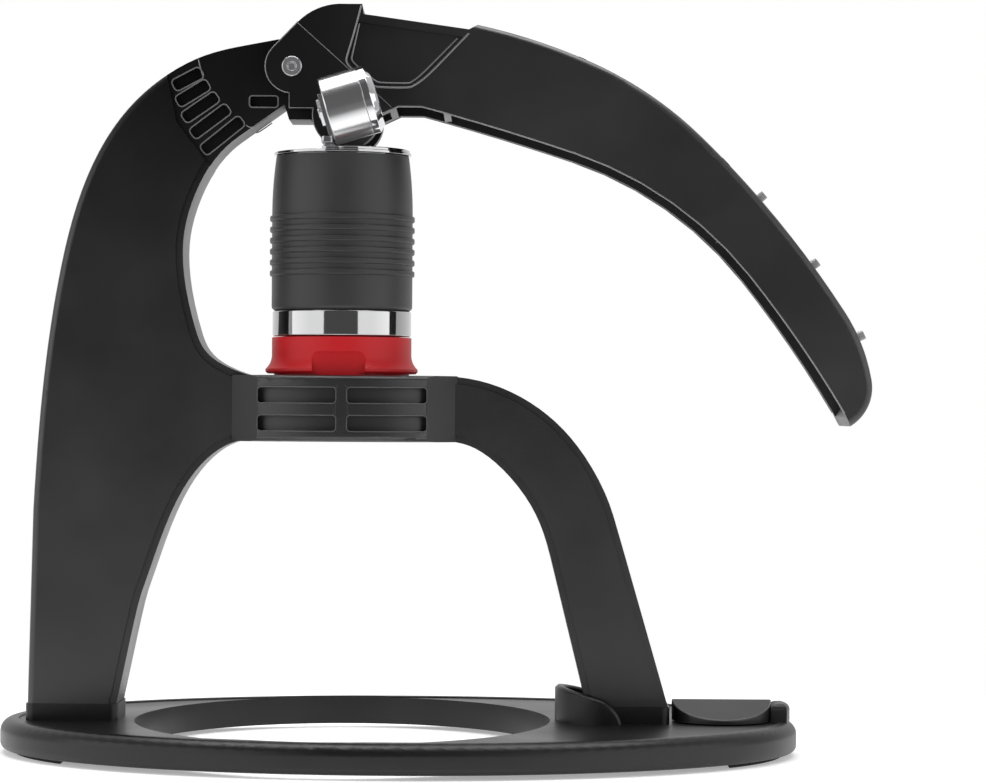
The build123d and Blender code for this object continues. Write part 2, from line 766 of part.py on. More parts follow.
# Lever cavity: follows the back of the grip at one wall thickness and is open below
cavity_points = [inset(p, h, lever_wall) for p, h in zip(back_points, back_headings)]
with BuildSketch(Plane.XZ) as lever_cavity:
    with BuildLine():
        Polyline(
            (bulkhead_x + lever_wall, saddle_start[1] - lever_wall),
            (saddle_end[0], saddle_end[1] - lever_wall),
            cavity_points[0],
        )
        for a, b, heading in zip(cavity_points, cavity_points[1:], back_headings):
            TangentArc(a, b, tangent=(cos(radians(heading)), sin(radians(heading))))
        Polyline(
            cavity_points[-1],
            (tip_low[0] - lever_wall / 2, tip_low[1] + lever_wall),
            (belly_points[0][0] - 40, belly_points[0][1] - 10),
            (belly_points[2][0] - 30, belly_points[2][1] - 50),
            (bulkhead_x + 40, nose_bottom - 10),
            (bulkhead_x + 16 + lever_wall, belly_points[4][1] - 8),
            (bulkhead_x + lever_wall, bulkhead_z),
            (bulkhead_x + lever_wall, saddle_start[1] - lever_wall),
        )
    make_face()

with BuildPart() as lever_arm:
    extrude(to_extrude=lever_side.sketch, amount=half_lever, both=True)
    rims = lever_arm.edges().filter_by(lambda e: abs(abs(e.center().Y) - half_lever) < 0.01)
    back_middles = [arc @ 0.5 for arc in grip_arcs]
    back_spots = [Vector(m.X, side * half_lever, m.Y) for m in back_middles for side in (1, -1)]
    back_rims = [e for e in rims for spot in back_spots if (e.center() - spot).length < 0.1]
    fillet(back_rims, radius=lever_round)
    extrude(to_extrude=lever_cavity.sketch, amount=half_lever - lever_wall, both=True, mode=Mode.SUBTRACT)
    with BuildSketch(Plane.XZ):
        with BuildLine():
            Polyline(
                (pin_x - 20, pin_z + 40),
                (bulkhead_x, pin_z + 40),
                (bulkhead_x, bulkhead_z),
                (bulkhead_x + 16, belly_points[4][1] - 8),
                (bulkhead_x + 16, nose_bottom - 10),
                (pin_x - 20, nose_bottom - 10),
                close=True,
            )
        make_face()
    extrude(amount=half_clevis, both=True, mode=Mode.SUBTRACT)
    with BuildSketch(Plane.XZ) as rib_faces:
        for along, above in rib_places:
            with Locations((pin_x + along, pin_z + above)):
                Rectangle(lever_rib, lever_reach, align=(Align.CENTER, Align.MIN))
        add(lever_side.sketch_local, mode=Mode.INTERSECT)
    extrude(amount=half_lever - lever_wall / 2, both=True)
    for side in (1, -1):
        with BuildSketch(Plane.XZ.offset(side * half_lever)):
            with BuildLine():
                Polyline(
                    (pin_x + 21.9, pin_z + 15.2),
                    (pin_x + 19.0, pin_z + 2.4),
                    (pin_x + 21.0, pin_z - 0.2),
                    (pin_x + 28.5, pin_z - 6.1),
                    (pin_x + 39.9, pin_z - 6.4),
                    (pin_x + 44.6, pin_z - 3.1),
                    (pin_x + 57.5, pin_z + 10.2),
                    close=True,
                )
            make_face()
        extrude(amount=-side * panel_depth, mode=Mode.SUBTRACT)
    with BuildSketch(Plane.XZ):
        with Locations((pin_x, pin_z)):
            Circle(pin_diameter / 2 + running_gap)
    extrude(amount=lever_width, both=True, mode=Mode.SUBTRACT)
    for arc, place in nub_places:
        spot = grip_arcs[arc] @ place
        run = grip_arcs[arc] % place
        nub_plane = Plane(origin=(spot.X, 0, spot.Y), x_dir=(run.X, 0, run.Y), z_dir=(-run.Y, 0, run.X))
        with BuildSketch(nub_plane):
            Rectangle(nub_length + 2 * seat_gap, nub_width + 2 * seat_gap)
        extrude(amount=-nub_root, mode=Mode.SUBTRACT)
lever_arm.part.label = "lever_arm"
export_step(lever_arm.part, "parts/lever_arm.step")

# Clear grip nubs let into the back of the lever
with BuildPart() as lever_nubs:
    for arc, place in nub_places:
        spot = grip_arcs[arc] @ place
        run = grip_arcs[arc] % place
        nub_plane = Plane(origin=(spot.X, 0, spot.Y), x_dir=(run.X, 0, run.Y), z_dir=(-run.Y, 0, run.X))
        with BuildSketch(nub_plane.offset(-nub_root)):
            RectangleRounded(nub_length, nub_width, nub_length / 3)
        extrude(amount=nub_root + nub_height)
lever_nubs.part.label = "lever_nubs"
export_step(lever_nubs.part, "parts/lever_nubs.step")

# Hinge pin, with a centre dimple in each end and a groove for its clip on the far side
with BuildPart() as hinge_pin:
    with BuildSketch(Plane.XZ.offset(half_lever + pin_proud)):
        with Locations((pin_x, pin_z)):
            Circle(pin_diameter / 2)
    extrude(amount=-(lever_width + 2 * pin_proud + clip_thickness + pin_tail))
    chamfer(hinge_pin.edges().group_by(Axis.Y)[0] + hinge_pin.edges().group_by(Axis.Y)[-1], length=pin_bevel)
    with BuildSketch(Plane.XZ.offset(half_lever + pin_proud)):
        with Locations((pin_x, pin_z)):
            Circle(pin_dimple)
    extrude(amount=-pin_dimple / 2, mode=Mode.SUBTRACT, taper=30)
    with BuildSketch(Plane.XZ.offset(-half_lever - pin_proud)):
        with Locations((pin_x, pin_z)):
            Circle(pin_diameter)
            Circle(pin_diameter / 2 - clip_bite, mode=Mode.SUBTRACT)
    extrude(amount=-clip_thickness, mode=Mode.SUBTRACT)
hinge_pin.part.label = "hinge_pin"
export_step(hinge_pin.part, "parts/hinge_pin.step")

# Retaining clip: an open ring snapped into the groove of the pin
with BuildPart() as pin_clip:
    with BuildSketch(Plane.XZ.offset(-half_lever - pin_proud - seat_gap)):
        with Locations((pin_x, pin_z)):
            Circle(pin_diameter / 2 + clip_wall)
            Circle(pin_diameter / 2 - clip_bite + seat_gap, mode=Mode.SUBTRACT)
            mouth = pin_diameter - 2 * clip_bite
            Rectangle(mouth, 2 * pin_diameter, align=(Align.CENTER, Align.MAX), mode=Mode.SUBTRACT)
    extrude(amount=-(clip_thickness - 2 * seat_gap))
pin_clip.part.label = "pin_clip"
export_step(pin_clip.part, "parts/pin_clip.step")

# Brew head: everything in it is turned about the same upright axis
brew_axis = Axis((brew_x, 0, 0), (0, 0, 1))
bore_radius = cylinder_bore / 2
shell_radius = bore_radius + cylinder_wall
collar_radius = bore_radius - loose_gap
collar_top = deck_top + portafilter_height + collar_height
basket_radius = basket_diameter / 2
cup_floor = collar_top - basket_depth

# Cylinder: a thin steel tube with a polished band at its foot and a rim round its mouth
with BuildPart() as brew_cylinder:
    with BuildSketch(Plane.XZ):
        with BuildLine():
            Polyline(
                (brew_x + bore_radius, band_bottom),
                (brew_x + band_diameter / 2 - band_bevel, band_bottom),
                (brew_x + band_diameter / 2, band_bottom + band_bevel),
                (brew_x + band_diameter / 2, band_top - band_bevel),
                (brew_x + band_diameter / 2 - band_bevel, band_top),
                (brew_x + shell_radius, band_top),
                (brew_x + shell_radius, cylinder_top),
                (brew_x + rim_diameter / 2, cylinder_top),
                (brew_x + rim_diameter / 2, rim_top),
                (brew_x + bore_radius + lead_in, rim_top),
                (brew_x + bore_radius, rim_top - 4 * lead_in),
                close=True,
            )
        make_face()
    revolve(axis=brew_axis)
brew_cylinder.part.label = "brew_cylinder"
export_step(brew_cylinder.part, "parts/brew_cylinder.step")

# Sleeve: ribbed silicone over the cylinder, widening from its top to the ribs
rib_top = cylinder_top - first_rib
crest = sleeve_diameter / 2
inside = brew_x + shell_radius + seat_gap
outside = brew_x + crest
with BuildPart() as cylinder_sleeve:
    with BuildSketch(Plane.XZ):
        with BuildLine():
            Line((inside, sleeve_bottom), (outside - sleeve_round, sleeve_bottom))
            corner = (outside, sleeve_bottom + sleeve_round)
            TangentArc((outside - sleeve_round, sleeve_bottom), corner, tangent=(1, 0))
            Line(corner, (outside, rib_top))
            shoulder_top = (brew_x + sleeve_top_diameter / 2, sleeve_top)
            TangentArc((outside, rib_top), shoulder_top, tangent=(0, 1))
            Polyline(shoulder_top, (inside, sleeve_top), (inside, sleeve_bottom))
        make_face()
    revolve(axis=brew_axis)
    for i in range(rib_count):
        with BuildSketch(Plane.XY.offset(rib_top - i * rib_pitch)):
            with Locations((brew_x, 0)):
                Circle(crest + rib_height)
                Circle(shell_radius + rib_height, mode=Mode.SUBTRACT)
        extrude(amount=-rib_width)
    rib_edges = cylinder_sleeve.edges().filter_by(GeomType.CIRCLE)
    fillet(rib_edges.filter_by(lambda e: e.radius > crest + rib_height / 2), radius=0.8 * rib_height)
cylinder_sleeve.part.label = "cylinder_sleeve"
export_step(cylinder_sleeve.part, "parts/cylinder_sleeve.step")

# Portafilter: a flared foot with finger scoops, a spigot into the deck and a collar up into the cylinder
portafilter_top = deck_top + portafilter_height
groove_mid = portafilter_top + collar_height / 2
groove_radius = bore_radius - running_gap - ring_seal - seat_gap
with BuildPart() as portafilter:
    with BuildSketch(Plane.XZ):
        with BuildLine():
            Polyline(
                (brew_x + outlet_diameter / 2, deck_top - spigot_depth),
                (brew_x + spigot_diameter / 2, deck_top - spigot_depth),
                (brew_x + spigot_diameter / 2, deck_top),
                (brew_x + portafilter_foot_diameter / 2 - foot_shadow, deck_top),
                (brew_x + portafilter_foot_diameter / 2 - foot_shadow, deck_top + foot_lift),
                (brew_x + portafilter_foot_diameter / 2 - foot_lift, deck_top + foot_lift),
                (brew_x + portafilter_foot_diameter / 2, deck_top + 2 * foot_lift),
                (brew_x + portafilter_foot_diameter / 2, deck_top + foot_edge),
            )
            TangentArc(
                (brew_x + portafilter_top_diameter / 2, deck_top + flare_height),
                (brew_x + portafilter_foot_diameter / 2, deck_top + foot_edge),
                tangent=(0, -1),
            )
            Polyline(
                (brew_x + portafilter_top_diameter / 2, deck_top + flare_height),
                (brew_x + portafilter_top_diameter / 2, portafilter_top),
                (brew_x + collar_radius, portafilter_top),
                (brew_x + collar_radius, groove_mid - ring_seal / 2 - seat_gap),
                (brew_x + groove_radius, groove_mid - ring_seal / 2 - seat_gap),
                (brew_x + groove_radius, groove_mid + ring_seal / 2 + seat_gap),
                (brew_x + collar_radius, groove_mid + ring_seal / 2 + seat_gap),
                (brew_x + collar_radius, collar_top),
                (brew_x + basket_radius + loose_gap, collar_top),
                (brew_x + basket_radius + loose_gap, cup_floor - loose_gap),
                (brew_x + outlet_diameter / 2, cup_floor - funnel_drop),
                (brew_x + outlet_diameter / 2, deck_top - spigot_depth),
            )
        make_face()
    revolve(axis=brew_axis)
    for side in (1, -1):
        with BuildSketch(Plane.XZ.offset(side * (portafilter_top_diameter / 2 - grip_cut))):
            with Locations((brew_x, deck_top)):
                RectangleRounded(grip_width, 2 * grip_height, grip_round)
        extrude(amount=side * portafilter_height, mode=Mode.SUBTRACT)
portafilter.part.label = "portafilter"
export_step(portafilter.part, "parts/portafilter.step")

# Ring seal in the collar groove
with BuildPart() as portafilter_seal:
    with BuildSketch(Plane.XZ):
        with Locations((brew_x + bore_radius - running_gap - ring_seal / 2, groove_mid)):
            Circle(ring_seal / 2)
    revolve(axis=brew_axis)
portafilter_seal.part.label = "portafilter_seal"
export_step(portafilter_seal.part, "parts/portafilter_seal.step")

# Filter basket: a thin cup with a lip on the collar and a sieve floor
with BuildPart() as filter_basket:
    with BuildSketch(Plane.XZ):
        with BuildLine():
            Polyline(
                (brew_x, cup_floor),
                (brew_x + basket_radius, cup_floor),
                (brew_x + basket_radius, collar_top),
                (brew_x + basket_radius + basket_lip, collar_top),
                (brew_x + basket_radius + basket_lip, collar_top + basket_wall),
                (brew_x + basket_radius - basket_wall, collar_top + basket_wall),
                (brew_x + basket_radius - basket_wall, cup_floor + basket_wall),
                (brew_x, cup_floor + basket_wall),
                close=True,
            )
        make_face()
    revolve(axis=brew_axis)
    with BuildSketch(Plane.XY.offset(cup_floor)):
        with Locations((brew_x, 0)):
            with HexLocations(sieve_pitch, sieve_count, sieve_count):
                Circle(sieve_hole / 2)
    extrude(amount=basket_wall, mode=Mode.SUBTRACT)
filter_basket.part.label = "filter_basket"
export_step(filter_basket.part, "parts/filter_basket.step")

# Dispersion screen: a sieve plate laid on the basket lip
screen_bottom = collar_top + basket_wall
screen_top = screen_bottom + screen_thickness
with BuildPart() as dispersion_screen:
    with BuildSketch(Plane.XY.offset(screen_bottom)):
        with Locations((brew_x, 0)):
            Circle(basket_radius + basket_lip)
            with HexLocations(sieve_pitch, sieve_count, sieve_count):
                Circle(sieve_hole / 2, mode=Mode.SUBTRACT)
    extrude(amount=screen_thickness)
dispersion_screen.part.label = "dispersion_screen"
export_step(dispersion_screen.part, "parts/dispersion_screen.step")

# Spout: a short tube hanging from the outlet, inside the deck
with BuildPart() as spout_insert:
    with BuildSketch(Plane.XY.offset(deck_top - spigot_depth)):
        with Locations((brew_x, 0)):
            Circle(outlet_diameter / 2 - seat_gap)
            Circle(outlet_diameter / 2 - spout_wall, mode=Mode.SUBTRACT)
    extrude(amount=cup_floor - funnel_drop - deck_top + spigot_depth)
    with BuildSketch(Plane.XY.offset(deck_top - spigot_depth)):
        with Locations((brew_x, 0)):
            Circle(outlet_diameter / 2 + spout_wall)
            Circle(outlet_diameter / 2 - spout_wall, mode=Mode.SUBTRACT)
    extrude(amount=-spout_drop)
    chamfer(spout_insert.edges().group_by(Axis.Z)[0].sort_by(SortBy.LENGTH)[-1], length=spout_wall)
spout_insert.part.label = "spout_insert"
export_step(spout_insert.part, "parts/spout_insert.step")

# Plunger: cap with a flat towards the hinge, hollow stem, piston with two seals, and the piston screw
piston_bottom = screen_top + piston_rest
piston_top = piston_bottom + piston_height
with BuildPart() as plunger_cap:
    with BuildSketch(Plane.XY.offset(cap_bottom)):
        with Locations((brew_x, 0)):
            Circle(cap_diameter / 2)
    extrude(amount=cap_thickness)
    fillet(plunger_cap.edges().group_by(Axis.Z)[-1], radius=cap_thickness / 3)
    with BuildSketch(Plane.XY.offset(boss_bottom)):
        with Locations((brew_x, 0)):
            Circle(boss_diameter / 2)
    extrude(amount=boss_depth)
    split(bisect_by=Plane.YZ.offset(brew_x - cap_flat), keep=Keep.TOP)
    with BuildSketch(Plane.XY.offset(boss_bottom)):
        with Locations((brew_x, 0)):
            Circle(stem_spigot / 2 + running_gap)
    extrude(amount=boss_depth + cap_thickness, mode=Mode.SUBTRACT)
plunger_cap.part.label = "plunger_cap"
export_step(plunger_cap.part, "parts/plunger_cap.step")

with BuildPart() as piston_stem:
    with BuildSketch(Plane.XY.offset(piston_top)):
        with Locations((brew_x, 0)):
            Circle(stem_diameter / 2)
    extrude(amount=boss_bottom - piston_top)
    with BuildSketch(Plane.XY.offset(boss_bottom)):
        with Locations((brew_x, 0)):
            Circle(stem_spigot / 2)
    extrude(amount=boss_depth + cap_thickness)
    with BuildSketch(Plane.XY.offset(piston_top)):
        with Locations((brew_x, 0)):
            Circle(screw_shank / 2 + running_gap)
    extrude(amount=screw_grip, mode=Mode.SUBTRACT)
    with BuildSketch(Plane.XY.offset(piston_top)):
        with Locations((brew_x, 0)):
            Circle(passage / 2)
    extrude(amount=cap_bottom - piston_top, mode=Mode.SUBTRACT)
piston_stem.part.label = "piston_stem"
export_step(piston_stem.part, "parts/piston_stem.step")

seal_radius = bore_radius - running_gap
seal_mids = (
    piston_bottom + piston_height / 2 - seal_spacing / 2,
    piston_bottom + piston_height / 2 + seal_spacing / 2,
)
with BuildPart() as piston:
    with BuildSketch(Plane.XY.offset(piston_bottom)):
        with Locations((brew_x, 0)):
            Circle(bore_radius - piston_gap)
            Circle(screw_shank / 2 + seat_gap, mode=Mode.SUBTRACT)
    extrude(amount=piston_height)
    for seal_mid in seal_mids:
        with BuildSketch(Plane.XY.offset(seal_mid - seal_section / 2 - seat_gap)):
            with Locations((brew_x, 0)):
                Circle(bore_radius)
                Circle(seal_radius - seal_section - seat_gap, mode=Mode.SUBTRACT)
        extrude(amount=seal_section + 2 * seat_gap, mode=Mode.SUBTRACT)
    with BuildSketch(Plane.XY.offset(piston_bottom)):
        with Locations((brew_x, 0)):
            Circle(piston_screw_head / 2 + seat_gap)
    extrude(amount=piston_screw_height, mode=Mode.SUBTRACT)
piston.part.label = "piston"
export_step(piston.part, "parts/piston.step")

with BuildPart() as piston_seals:
    for seal_mid in seal_mids:
        with BuildSketch(Plane.XZ):
            with Locations((brew_x + seal_radius - seal_section / 2, seal_mid)):
                Circle(seal_section / 2)
        revolve(axis=brew_axis)
piston_seals.part.label = "piston_seals"
export_step(piston_seals.part, "parts/piston_seals.step")

with BuildPart() as piston_screw:
    with BuildSketch(Plane.XY.offset(piston_bottom)):
        with Locations((brew_x, 0)):
            Circle(piston_screw_head / 2)
    extrude(amount=piston_screw_height)
    with BuildSketch(Plane.XY.offset(piston_bottom)):
        with Locations((brew_x, 0)):
            Circle(screw_shank / 2)
    extrude(amount=piston_height + screw_grip - seat_gap)
    with BuildSketch(Plane.XY.offset(piston_bottom)):
        with Locations((brew_x, 0)):
            Circle(screw_bore / 2)
    extrude(amount=piston_height + screw_grip, mode=Mode.SUBTRACT)
    with BuildSketch(Plane.XY.offset(piston_bottom)):
        with Locations((brew_x, 0)):
            RegularPolygon(screw_shank / 2, 6)
    extrude(amount=piston_screw_height / 2, mode=Mode.SUBTRACT)
piston_screw.part.label = "piston_screw"
export_step(piston_screw.part, "parts/piston_screw.step")

# Pressure gauge: it rises with the plunger, tilted so that the dial faces the user
gauge_x = brew_x + gauge_reach
gauge_z = cap_top + gauge_rise
arm_top = cap_top + arm_height
tilt = radians(gauge_tilt)
gauge_plane = Plane(origin=(gauge_x, gauge_y, gauge_z), x_dir=(0, 1, 0), z_dir=(cos(tilt), 0, sin(tilt)))
case_front = case_length - case_back
case_radius = case_diameter / 2
inner_radius = case_radius - case_wall
case_floor = case_wall - case_back
bezel_start = case_front + lens_thickness + bezel_lip - bezel_length
dial_bottom = case_front - dial_depth
dial_top = dial_bottom + dial_thickness

with BuildPart() as gauge_arm:
    with BuildSketch(Plane.XY.offset(cap_top)):
        with Locations((brew_x - arm_back, -arm_start)):
            Rectangle(arm_width, arm_length, align=(Align.CENTER, Align.MAX))
    extrude(amount=arm_height)
    fillet(gauge_arm.edges().filter_by(Axis.Z).group_by(Axis.Y)[0], radius=arm_width / 4)
gauge_arm.part.label = "gauge_arm"
export_step(gauge_arm.part, "parts/gauge_arm.step")

with BuildPart() as gauge_post:
    with BuildSketch(gauge_plane.offset(-case_back - post_thickness)):
        RectangleRounded(post_width, post_width + 2 * gauge_rise, post_width / 3)
        Circle(stud_diameter / 2 + seat_gap, mode=Mode.SUBTRACT)
    extrude(amount=post_thickness)
    split(bisect_by=Plane.XY.offset(arm_top), keep=Keep.TOP)
    split(bisect_by=Plane.XY.offset(gauge_z + post_crest), keep=Keep.BOTTOM)
gauge_post.part.label = "gauge_post"
export_step(gauge_post.part, "parts/gauge_post.step")

with BuildPart() as gauge_nut:
    with BuildSketch(gauge_plane.offset(-case_back - post_thickness - nut_length)):
        RegularPolygon(nut_size / 2, 6, major_radius=False)
        Circle(stud_diameter / 2 + running_gap, mode=Mode.SUBTRACT)
    extrude(amount=nut_length)
gauge_nut.part.label = "gauge_nut"
export_step(gauge_nut.part, "parts/gauge_nut.step")

with BuildPart() as gauge_case:
    with BuildSketch(gauge_plane.offset(-case_back)):
        Circle(case_radius)
    extrude(amount=case_length)
    back_rim = gauge_case.edges().sort_by(Axis((0, 0, 0), (cos(tilt), 0, sin(tilt))))[0]
    fillet(back_rim, radius=case_round)
    with BuildSketch(gauge_plane.offset(case_floor)):
        Circle(inner_radius)
    extrude(amount=case_length, mode=Mode.SUBTRACT)
    with BuildSketch(gauge_plane.offset(-case_back)):
        Circle(stud_diameter / 2)
    extrude(amount=-(post_thickness + nut_length + stud_proud))
    with BuildSketch(gauge_plane.offset(bezel_start)):
        Circle(case_diameter)
        Circle(case_radius - bezel_step, mode=Mode.SUBTRACT)
    extrude(amount=bezel_length, mode=Mode.SUBTRACT)
    with BuildSketch(gauge_plane.offset(case_floor)):
        Circle(passage / 4)
    extrude(amount=-(case_back + post_thickness), mode=Mode.SUBTRACT)
gauge_case.part.label = "gauge_case"
export_step(gauge_case.part, "parts/gauge_case.step")

with BuildPart() as gauge_bezel:
    with BuildSketch(gauge_plane.offset(bezel_start + seat_gap)):
        Circle(case_radius)
        Circle(case_radius - bezel_step + running_gap, mode=Mode.SUBTRACT)
    extrude(amount=bezel_length - bezel_lip - seat_gap)
    with BuildSketch(gauge_plane.offset(case_front + lens_thickness)):
        Circle(case_radius)
        Circle(inner_radius - bezel_reach, mode=Mode.SUBTRACT)
    extrude(amount=bezel_lip)
    front_rims = gauge_bezel.edges().group_by(Axis((0, 0, 0), (cos(tilt), 0, sin(tilt))))[-1]
    chamfer(front_rims.sort_by(SortBy.LENGTH)[-1], length=bezel_bevel)
gauge_bezel.part.label = "gauge_bezel"
export_step(gauge_bezel.part, "parts/gauge_bezel.step")

with BuildPart() as gauge_lens:
    with BuildSketch(gauge_plane.offset(case_front)):
        Circle(case_radius - bezel_step - running_gap)
    extrude(amount=lens_thickness)
gauge_lens.part.label = "gauge_lens"
export_step(gauge_lens.part, "parts/gauge_lens.step")

with BuildPart() as gauge_dial:
    with BuildSketch(gauge_plane.offset(dial_bottom)):
        Circle(inner_radius - seat_gap)
        Circle(pointer_shaft / 2 + loose_gap, mode=Mode.SUBTRACT)
    extrude(amount=dial_thickness)
gauge_dial.part.label = "gauge_dial"
export_step(gauge_dial.part, "parts/gauge_dial.step")

# Movement: a plate on three posts between the case floor and the dial, bored for the pointer shaft
plate_bottom = dial_bottom - movement_space
with BuildPart() as gauge_movement:
    with BuildSketch(gauge_plane.offset(plate_bottom)):
        Circle(inner_radius - seat_gap)
        Circle(pointer_shaft / 2 + running_gap, mode=Mode.SUBTRACT)
    extrude(amount=movement_plate)
    with BuildSketch(gauge_plane.offset(case_floor)):
        with PolarLocations(inner_radius - movement_post, 3):
            Circle(movement_post - loose_gap)
    extrude(amount=dial_bottom - case_floor)
gauge_movement.part.label = "gauge_movement"
export_step(gauge_movement.part, "parts/gauge_movement.step")

# Bent pressure tube: an open arc on a socket block fixed to the case floor
tube_level = (case_floor + plate_bottom) / 2
with BuildPart() as bourdon_tube:
    with BuildLine(gauge_plane.offset(tube_level)) as tube_path:
        CenterArc((0, 0), tube_radius, tube_start, tube_turn)
    with BuildSketch(Plane(origin=tube_path.line @ 0, z_dir=tube_path.line % 0)):
        Circle(tube_section / 2)
    sweep(path=tube_path.line)
    with BuildSketch(gauge_plane.offset(case_floor)):
        block_x = tube_radius * cos(radians(tube_start))
        block_y = tube_radius * sin(radians(tube_start))
        with Locations((block_x, block_y)):
            Rectangle(tube_block, tube_block)
    extrude(amount=tube_level - case_floor)
bourdon_tube.part.label = "bourdon_tube"
export_step(bourdon_tube.part, "parts/bourdon_tube.step")

# Pointer on its shaft, resting at the low end of the scale
with BuildPart() as gauge_pointer:
    with BuildSketch(gauge_plane.offset(plate_bottom)):
        Circle(pointer_shaft / 2)
    extrude(amount=dial_top + loose_gap + pointer_thickness - plate_bottom)
    with BuildSketch(gauge_plane.offset(dial_top + loose_gap)):
        Circle(pointer_shaft)
        with BuildLine():
            reach = radians(pointer_rest)
            across = reach + radians(90)
            tip = (pointer_length * cos(reach), pointer_length * sin(reach))
            side_x = pointer_width * cos(across)
            side_y = pointer_width * sin(across)
            Polyline((side_x, side_y), tip, (-side_x, -side_y), (-tip[0] / 3, -tip[1] / 3), close=True)
        make_face()
    extrude(amount=pointer_thickness)
gauge_pointer.part.label = "gauge_pointer"
export_step(gauge_pointer.part, "parts/gauge_pointer.step")
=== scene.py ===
# %% [markdown]
# # A hand lever espresso press
#
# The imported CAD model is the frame: it holds the sizes, the joints and the nodes. This lesson gives each surface its
# finish, adds the small mouldings that CAD leaves out, and sets up a camera and soft studio light.
# All lengths are in metres, and every new piece sits at the origin with its place in its mesh.

import math

import bmesh
import bpy
from mathutils import Matrix, Vector


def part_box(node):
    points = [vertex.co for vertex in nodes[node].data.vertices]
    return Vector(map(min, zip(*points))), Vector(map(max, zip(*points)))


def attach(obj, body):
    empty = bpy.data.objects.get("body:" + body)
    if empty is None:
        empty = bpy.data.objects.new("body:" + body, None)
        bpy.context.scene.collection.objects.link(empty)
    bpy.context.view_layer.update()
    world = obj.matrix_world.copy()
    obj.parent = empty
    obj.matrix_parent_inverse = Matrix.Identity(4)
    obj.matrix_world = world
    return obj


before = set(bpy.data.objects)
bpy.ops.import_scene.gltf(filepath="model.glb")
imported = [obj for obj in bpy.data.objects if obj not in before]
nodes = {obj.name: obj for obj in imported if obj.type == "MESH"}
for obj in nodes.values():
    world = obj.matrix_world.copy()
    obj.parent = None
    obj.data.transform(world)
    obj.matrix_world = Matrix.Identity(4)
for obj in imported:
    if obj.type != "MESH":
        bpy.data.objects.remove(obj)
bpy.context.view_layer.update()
scene = bpy.context.scene
scene.view_settings.view_transform = "Standard"

# %% [markdown]
# ## Places shared with the CAD model
#
# The pin, the brew head's axis and the cap's height are read off the nodes' own boxes, so the details stay with them.
# The gauge's axis is tilted, which a box can't tell, so its place over the cap and its tilt are written out.

# %% Shared places
MM = 0.001
pin_low, pin_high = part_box("hinge_pin")
PIN = Vector(((pin_low[0] + pin_high[0]) / 2, 0, (pin_low[2] + pin_high[2]) / 2))
head_low, head_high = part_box("brew_cylinder")
BREW_X = (head_low[0] + head_high[0]) / 2
LEVER_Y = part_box("lever_arm")[1][1]
TILT = math.radians(16.5)
CAP_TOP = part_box("plunger_cap")[1][2]
GAUGE = Vector((BREW_X + 3.5 * MM, -32.3 * MM, CAP_TOP + 12.5 * MM))
GAUGE_AXIS = Vector((math.cos(TILT), 0, math.sin(TILT)))
print("pin", [round(v, 4) for v in PIN], "brew axis", round(BREW_X, 4), "gauge", [round(v, 4) for v in GAUGE])

# %% [markdown]
# ## Camera
#
# The photograph is taken level and from about 1.1 m, with a slight roll. A pixel is 0.343 mm in the middle plane. The
# level line crosses the image a little under its centre, so the lens is shifted up instead of tilted.

# %% Camera
IMAGE_W = 986
FOCAL_PX = 3200
PIXEL = 0.343 * MM
SENSOR = 36
LEVEL_SHIFT_PX = 16.5
EYE_X, EYE_Z = 0.0198, 0.118
ROLL = math.radians(-0.35)
camera_data = bpy.data.cameras.new("photo_camera")
camera_data.sensor_width = SENSOR
camera_data.lens = FOCAL_PX / IMAGE_W * SENSOR
camera_data.shift_y = LEVEL_SHIFT_PX / IMAGE_W
camera = bpy.data.objects.new("photo_camera", camera_data)
camera.location = (EYE_X, -FOCAL_PX * PIXEL, EYE_Z)
camera.rotation_euler = (math.radians(90), ROLL, 0)
scene.collection.objects.link(camera)
scene.camera = camera
print("lens", round(camera_data.lens, 1), "distance", round(FOCAL_PX * PIXEL, 3))

# %% [markdown]
# ## Studio
#
# The surround is white. It is bright behind the object, so that edges and inner faces glow, and darker on the
# camera's side, so that faces turned to the camera stay black.

# %% World
FRONT_GLOW, BACK_GLOW = 0.12, 1.1
world = bpy.data.worlds.new("studio")
scene.world = world
world.use_nodes = True
wt = world.node_tree
wt.nodes.clear()
w_out = wt.nodes.new("ShaderNodeOutputWorld")
w_mix = wt.nodes.new("ShaderNodeMixShader")
w_path = wt.nodes.new("ShaderNodeLightPath")
w_white = wt.nodes.new("ShaderNodeBackground")
w_soft = wt.nodes.new("ShaderNodeBackground")
w_coord = wt.nodes.new("ShaderNodeTexCoord")
w_axes = wt.nodes.new("ShaderNodeSeparateXYZ")
w_range = wt.nodes.new("ShaderNodeMapRange")
w_white.inputs["Color"].default_value = (1, 1, 1, 1)
w_white.inputs["Strength"].default_value = 1.0
w_range.inputs["From Min"].default_value = -0.6
w_range.inputs["From Max"].default_value = 0.9
w_range.inputs["To Min"].default_value = FRONT_GLOW
w_range.inputs["To Max"].default_value = BACK_GLOW
wt.links.new(w_coord.outputs["Generated"], w_axes.inputs["Vector"])
wt.links.new(w_axes.outputs["Y"], w_range.inputs["Value"])
wt.links.new(w_range.outputs["Result"], w_soft.inputs["Strength"])
w_seen = wt.nodes.new("ShaderNodeMath")
w_seen.operation = "MAXIMUM"
wt.links.new(w_path.outputs["Is Camera Ray"], w_seen.inputs[0])
wt.links.new(w_path.outputs["Is Transmission Ray"], w_seen.inputs[1])
wt.links.new(w_seen.outputs["Value"], w_mix.inputs["Fac"])
wt.links.new(w_soft.outputs["Background"], w_mix.inputs[1])
wt.links.new(w_white.outputs["Background"], w_mix.inputs[2])
wt.links.new(w_mix.outputs["Shader"], w_out.inputs["Surface"])
print("world", world.name, "front", FRONT_GLOW, "back", BACK_GLOW)

# %% [markdown]
# The floor is plain and pale. It takes shadow near the object and fades to pure white further out. In mirrors, the
# floor under the camera is dim, as if it ended there, which keeps the middle of the gauge dark.

